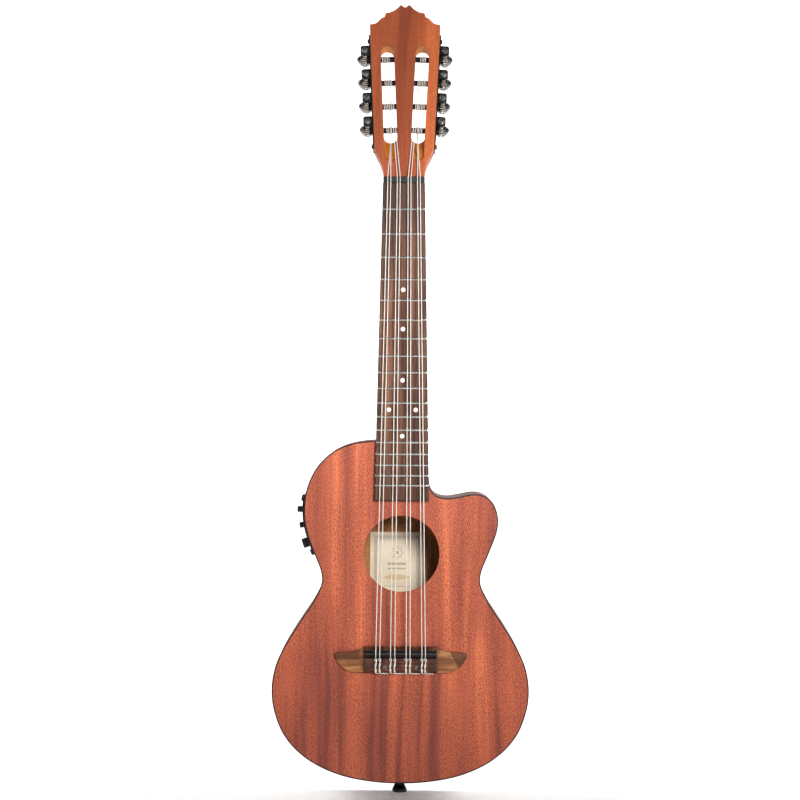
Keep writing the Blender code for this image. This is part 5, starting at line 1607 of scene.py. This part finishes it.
def soft_loop(loop, r, seg=3):
    """Rounds the convex and concave corners of a closed loop."""
    out = []
    n = len(loop)
    for i in range(n):
        a, b, c = Vector(loop[i - 1]), Vector(loop[i]), Vector(loop[(i + 1) % n])
        d1, d2 = a - b, c - b
        cut_ = min(r, 0.4 * d1.length, 0.4 * d2.length)
        p, q = b + d1.normalized() * cut_, b + d2.normalized() * cut_
        for k in range(seg + 1):
            t = k / seg
            out.append(tuple((1 - t) ** 2 * p + 2 * t * (1 - t) * b + t * t * q))
    return out


block_loop = soft_loop(BLOCK_PROFILE, 0.45)
WINGS = ((33.2, -428.4, -452.6, 3.7), (35.0, -429.4, -452.6, 3.5), (38.5, -431.0, -452.6, 3.35),
         (43.0, -432.5, -452.4, 3.2), (48.0, -433.4, -451.3, 3.05), (53.0, -433.8, -448.6, 2.9),
         (57.0, -434.0, -445.0, 2.75), (59.6, -434.3, -441.2, 2.6), (60.9, -434.8, -438.6, 2.4),
         (61.4, -435.6, -437.0, 2.1))
wing_dense = [tuple(p) for p in spline([Vector(w) for w in WINGS], 4)]


def wing(side):
    rings = []
    for x, z_top, z_low, h in wing_dense:
        r = min(0.8, 0.3 * (z_top - z_low), 0.45 * h)
        ring = [(side * x, -0.02, z_top)]
        for j in range(5):
            a = 0.5 * math.pi * j / 4
            ring.append((side * x, -h + r * (1 - math.sin(a)), z_top - r * (1 - math.cos(a))))
        mid = 0.5 * (z_top + z_low)
        for j in range(1, 8):
            f = j / 8
            z = (z_top - r) + (z_low + r - z_top + r) * f
            ring.append((side * x, -h - 0.18 * math.sin(math.pi * f), z))
        for j in range(4, -1, -1):
            a = 0.5 * math.pi * j / 4
            ring.append((side * x, -h + r * (1 - math.sin(a)), z_low + r * (1 - math.cos(a))))
        ring.append((side * x, -0.02, z_low))
        rings.append(ring)
    return loft(rings)


block = rounded([block_loop], -33.4, 33.4, lambda z, y, t: (t, y, z), 0.4, 0.4, 3)
bridge = emit("bridge", block, BLOCK_WOOD, nodes=("bridge",), slot="bridge_wood", rule=straight)
ties = []
for x in STRING_BRIDGE_X:
    a = Vector((x, -6.6, -439.4))
    b = Vector((x, -3.9, -453.6))
    v, f = tube([tuple(a + (b - a) * t) for t in (0.0, 0.33, 0.66, 1.0)], 0.62, 12, ends=False)
    ties.append((v, f))
cut(bridge, *ties)
for side, word in ((-1, "bass"), (1, "treble")):
    emit("bridge_wing_" + word, wing(side), WING_WOOD, slot="bridge_wood")
for side, word in ((-1, "bass"), (1, "treble")):
    emit("bridge_dot_" + word, rounded([circle(1.75, 36, side * 14.5, -446.9)], -8.05, -7.4, flat_xz, 0.05, 0.0),
         DOWEL, slot="pickup_strip")

saddle_loop = [(-435.6, -3.2), (-435.6, -9.6)]
for j in range(1, 12):
    a = math.pi * j / 12
    saddle_loop.append((-434.2 - 1.4 * math.cos(a), -9.6 - 1.3 * math.sin(a)))
saddle_loop += [(-432.8, -9.6), (-432.8, -3.2)]
emit("saddle", rounded([saddle_loop], -32.7, 32.7, lambda z, y, t: (t, y, z), 0.4, 0.4, 3), SADDLE_BLACK,
     nodes=("saddle",), slot="black_bone")
emit("piezo_pickup", box_mm(-32.5, 32.5, -3.18, -3.02, -435.4, -433.0, 0.05, 1), PICKUP, nodes=("piezo_pickup",),
     slot="pickup_strip")

# ----------------------------------------------------------------- strings
WIND_R = ROLLER_R + STRING_R - 0.02
WIND_TURNS = (3.3, 4.3, 3.3, 4.3, 3.3, 4.3, 4.3, 3.3)
TAIL = (5.6, 8.4, 6.2, 12.5, 6.0, 9.0, 6.5, 7.6)


def string_path(number):
    side = -1 if number < 5 else 1
    k = number - 1 if side < 0 else 8 - number
    flank = FLANK[side]
    xb, xn = STRING_BRIDGE_X[number - 1], STRING_NUT_X[number - 1]
    wav = 0.22 if number % 2 else -0.22
    # the tie: out of the hole, over the tie block, round the string and back
    tie = [(xb + TAIL[number - 1], -1.5 - 0.35 * (number % 3), -453.5),
           (xb + 0.62 * TAIL[number - 1], -1.7 - 0.3 * (number % 2), -453.35),
           (xb + 0.25 * TAIL[number - 1], -2.3, -453.3),
           (xb + 0.75, -3.7, -453.25), (xb + 0.45, -5.8, -452.35), (xb + 0.45, -7.9, -451.2),
           (xb + 0.35 + wav, -8.75, -449.7), (xb - 0.15, -9.1, -447.6), (xb - 0.42, -9.05, -445.4),
           (xb + 0.05, -9.1, -443.2), (xb + 0.55, -8.9, -441.4), (xb + 0.95, -8.3, -440.0),
           (xb + 0.75, -7.0, -439.25), (xb - 0.1, -6.5, -438.95), (xb - 0.9, -7.1, -439.2),
           (xb - 1.0, -8.2, -439.75), (xb - 0.45, -9.15, -440.3), (xb + 0.25, -9.0, -441.3),
           (xb + 0.45, -8.55, -443.2), (xb + 0.35, -8.4, -445.4), (xb - 0.35, -8.42, -447.8),
           (xb - 0.40, -8.4, -449.9), (xb - 0.25, -7.4, -451.5), (xb - 0.05, -5.4, -452.75),
           (xb, -4.2, -452.6), (xb, -4.6, -450.0), (xb, -5.6, -444.6), (xb, -6.55, -440.0)]
    out = spline([Vector(p) for p in tie], 4)[:-1]
    # up to the saddle, over it, and along the neck to the nut
    over = [(xb, -6.55, -440.0), (xb, -8.5, -438.15), (xb, -10.6, -436.1), (xb, -11.32, -435.15), (xb, -11.58, -434.5),
            (xb, -11.6, -433.9)]
    out += spline([Vector(p) for p in over], 4)[:-1]
    a, b = Vector((xb, STRING_SADDLE_Y + 0.03, -433.4)), Vector((xn, STRING_NUT_Y, 0.6))
    out += [tuple(a + (b - a) * t) for t in [i / 40 for i in range(41)]]
    steps = 28
    turns = WIND_TURNS[number - 1]
    first = flank @ Vector((-side * (SLOT_W + 1.4), ROLLER_D - WIND_R, ROLLER_U[k]))
    c = Vector((xn, STRING_NUT_Y, 4.9))
    run = [tuple(c)]
    lead = flank @ Vector((-side * (SLOT_W + 1.4), ROLLER_D - WIND_R, ROLLER_U[k] - 0.6))
    for t in (0.12, 0.3, 0.5, 0.7, 0.88):
        run.append(tuple(c + (lead - c) * t))
    out += [tuple(Vector((xn, STRING_NUT_Y, z))) for z in (2.0, 3.4)]
    out += spline([Vector(p) for p in run], 5)[:-1]
    for i in range(int(turns * steps) + 1):
        ang = 2 * math.pi * i / steps
        shift = 1.55 * i / steps
        local = Vector((-side * (SLOT_W + 1.4 - shift), ROLLER_D - WIND_R * math.cos(ang),
                        ROLLER_U[k] + WIND_R * math.sin(ang)))
        out.append(tuple(flank @ local))
    ang = 2 * math.pi * int(turns * steps) / steps
    shift = 1.55 * int(turns * steps) / steps
    for q in (0.93, 0.8, 0.6, 0.3):
        ang += 0.22
        out.append(tuple(flank @ Vector((-side * (SLOT_W + 1.4 - shift), ROLLER_D - WIND_R * q * math.cos(ang),
                                         ROLLER_U[k] + WIND_R * q * math.sin(ang)))))
    return out


for number in range(1, 9):
    emit("string_%d" % number, tube(string_path(number), STRING_R, 10), NYLON, nodes=("string_%d" % number,),
         slot="nylon", smooth=70.0, weighted=False)

# ------------------------------------------------------------------ preamp
emit("preamp_panel", panel_loft(PREAMP_Z[0], PREAMP_Z[1], PREAMP_Y[0], PREAMP_Y[1], 0.02, 1.9, 0.6, 4.0), PLASTIC,
     nodes=("preamp_panel",), slot="black_plastic")
for name, z0, z1 in (("upper", -289.8, -295.4), ("lower", -339.2, -344.6)):
    emit("preamp_clip_" + name, panel_loft(z0, z1, PREAMP_Y[0] + 2.0, PREAMP_Y[1] - 2.0, 1.7, 3.5, 0.8, 1.6, 10, 4),
         PLASTIC, slot="black_plastic")
emit("preamp_case", panel_loft(-292.6, -341.6, 15.5, 44.5, -20.0, 0.4, 0.8, 1.5, 40, 4), PLASTIC,
     nodes=("preamp_case",), slot="black_plastic")


def knob_surface(radius, length, flutes):
    prof = [(1.7, -0.6), (1.7, 2.25), (radius - 0.25, 2.25), (radius, 2.45), (radius, 2.3 + length - 0.75),
            (radius - 0.12, 2.3 + length - 0.4), (radius - 0.45, 2.3 + length - 0.1), (radius - 0.9, 2.3 + length),
            (radius * 0.55, 2.3 + length - 0.02), (radius * 0.3, 2.3 + length - 0.10), (0.0, 2.3 + length - 0.12)]

    def wobble(r, t, a):
        if r > radius - 0.3 and t > 2.3:
            return -0.16 * (0.5 + 0.5 * math.cos(flutes * a)) ** 0.7
        return 0.0
    return turned(prof, flutes * 6, lambda u, v, t: (u, v, t), wobble=wobble)


for name, z, radius, length, flutes in (("treble_knob", -303.0, 2.9, 4.6, 20), ("bass_knob", -317.1, 2.8, 3.8, 20),
                                        ("volume_knob", -332.7, 4.6, 5.6, 30)):
    at = rib_frame(z, KNOB_Y)
    body = name + "_body"
    emit(name, knob_surface(radius, length, flutes), KNOB_PLASTIC, body, (name,), "black_plastic", at, smooth=45.0)
    mark = rounded([round_rect(-0.22, 0.22, 0.35 * radius, 0.92 * radius, 0.2, 3)], 2.3 + length - 0.13,
                   2.3 + length + 0.03, lambda u, v, t: (u, v, t), 0.0, 0.02, 1)
    emit(name + "_pointer", mark, PRINT, body, slot="black_plastic", where=at)
    ticks = []
    for k in range(11):
        a = math.radians(-140 + 28 * k)
        r0, r1 = radius + 0.9, radius + (2.0 if k % 5 == 0 else 1.6)
        s, c = math.sin(a), math.cos(a)
        loop = [(r0 * s - 0.12 * c, r0 * c + 0.12 * s), (r0 * s + 0.12 * c, r0 * c - 0.12 * s),
                (r1 * s + 0.12 * c, r1 * c - 0.12 * s), (r1 * s - 0.12 * c, r1 * c + 0.12 * s)]
        ticks.append(rounded([loop], 1.78, 1.95, lambda u, v, t: (u, v, t), 0.0, 0.0))
    emit(name + "_scale", join(*ticks), PRINT, slot="black_plastic", where=at, smooth=None, weighted=False)

at = rib_frame(-317.1, KEY_Y)
emit("tuner_key", rounded([round_rect(-3.6, 3.6, -2.0, 2.0, 0.9, 5)], -0.2, 2.9, lambda u, v, t: (u, v, t), 0.0, 0.5, 4),
     KEY_PLASTIC, "tuner_key_body", ("tuner_key",), "black_plastic", at)
emit("key_bezel", rounded([round_rect(-4.6, 4.6, -3.0, 3.0, 1.5, 5), round_rect(-3.8, 3.8, -2.2, 2.2, 1.0, 5)], 1.6, 2.15,
                          lambda u, v, t: (u, v, t), 0.0, [0.18, 0.1], 2), KNOB_PLASTIC, slot="black_plastic", where=at)

# clearance for the knobs' shafts and the key through the panel and the case
passages = []
for z in (-303.0, -317.1, -332.7):
    verts, faces = rounded([circle(1.95, 32)], -1.2, 4.0, lambda u, v, t: (u, v, t), 0.0, 0.0)
    passages.append(([tuple(rib_frame(z, KNOB_Y) @ Vector(p)) for p in verts], faces))
verts, faces = rounded([round_rect(-3.8, 3.8, -2.2, 2.2, 1.0, 5)], -1.6, 4.0, lambda u, v, t: (u, v, t), 0.0, 0.0)
passages.append(([tuple(rib_frame(-317.1, KEY_Y) @ Vector(p)) for p in verts], faces))
cut(PIECES["preamp_panel_fine"][0], *passages)
cut(PIECES["preamp_case_fine"][0], *passages)

# ------------------------------------------------------------------- studio
WHITE = Nodes("backdrop").finish((0.90, 0.90, 0.90), 0.9)
lowest = min(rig.bounds()[0][2], cad_low[2])


def backdrop():
    """Pale floor that sweeps up behind the object."""
    floor = lowest - 0.004
    profile = [(-6.0, floor)]
    r = 0.9
    depth = 2.8
    profile.append((depth - r, floor))
    for k in range(1, 25):
        a = 0.5 * math.pi * k / 24
        profile.append((depth - r + r * math.sin(a), floor + r * (1 - math.cos(a))))
    profile.append((depth, floor + 7.0))
    verts = [(x, y, z) for y, z in profile for x in (-8.0, 8.0)]
    faces = [(2 * i, 2 * i + 1, 2 * i + 3, 2 * i + 2) for i in range(len(profile) - 1)]
    mesh = bpy.data.meshes.new("studio_floor")
    mesh.from_pydata(verts, [], faces)
    mesh.shade_smooth()
    mesh.materials.append(WHITE)
    obj = bpy.data.objects.new("studio_floor", mesh)
    bpy.context.scene.collection.objects.link(obj)
    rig.stage(obj)


backdrop()


def lamp(name, place_, target, size, power, colour=(1.0, 1.0, 1.0)):
    data = bpy.data.lights.new(name, 'AREA')
    data.shape = 'RECTANGLE'
    data.size, data.size_y = size
    data.energy = power
    data.color = colour
    obj = bpy.data.objects.new(name, data)
    obj.location = place_
    obj.rotation_mode = 'QUATERNION'
    obj.rotation_quaternion = (Vector(target) - Vector(place_)).to_track_quat('-Z', 'Y')
    bpy.context.scene.collection.objects.link(obj)
    return obj


key = lamp("key", (0.33, -1.22, 0.08), (-0.02, 0.0, -0.15), (0.36, 0.42), 2.12, (1.0, 0.985, 0.96))
key.data.spread = math.radians(50.0)
lamp("fill", (-1.7, -1.7, 0.5), (0.0, 0.0, -0.2), (1.2, 1.2), 0.4)
lamp("backdrop_left", (-1.9, 0.6, 1.1), (0.0, 2.8, -0.1), (1.2, 1.2), 84.0)
lamp("backdrop_right", (1.9, 0.6, 1.1), (0.0, 2.8, -0.1), (1.2, 1.2), 84.0)

world = bpy.data.worlds.new("studio")
world.use_nodes = True
world.node_tree.nodes["Background"].inputs["Color"].default_value = (1.0, 1.0, 1.0, 1.0)
world.node_tree.nodes["Background"].inputs["Strength"].default_value = 0.2
bpy.context.scene.world = world
bpy.context.scene.view_settings.view_transform = 'Standard'
bpy.context.scene.view_settings.look = 'None'

# ------------------------------------------------------------------- camera
cam = bpy.data.cameras.new("camera")
cam.sensor_width = 36.0
cam.lens = 36.0 * 2100.0 / 740.0
cam.clip_end = 50.0
camera = bpy.data.objects.new("camera", cam)
camera.location = (-0.0022, -2.1045, -0.1805)
camera.rotation_euler = (math.radians(90.0), math.radians(-0.4259), 0.0)
bpy.context.scene.collection.objects.link(camera)
bpy.context.scene.camera = camera

low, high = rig.bounds()
with open("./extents.json", "w") as out:
    json.dump({"cad": [list(cad_low), list(cad_high)], "visual": [list(low), list(high)]}, out)
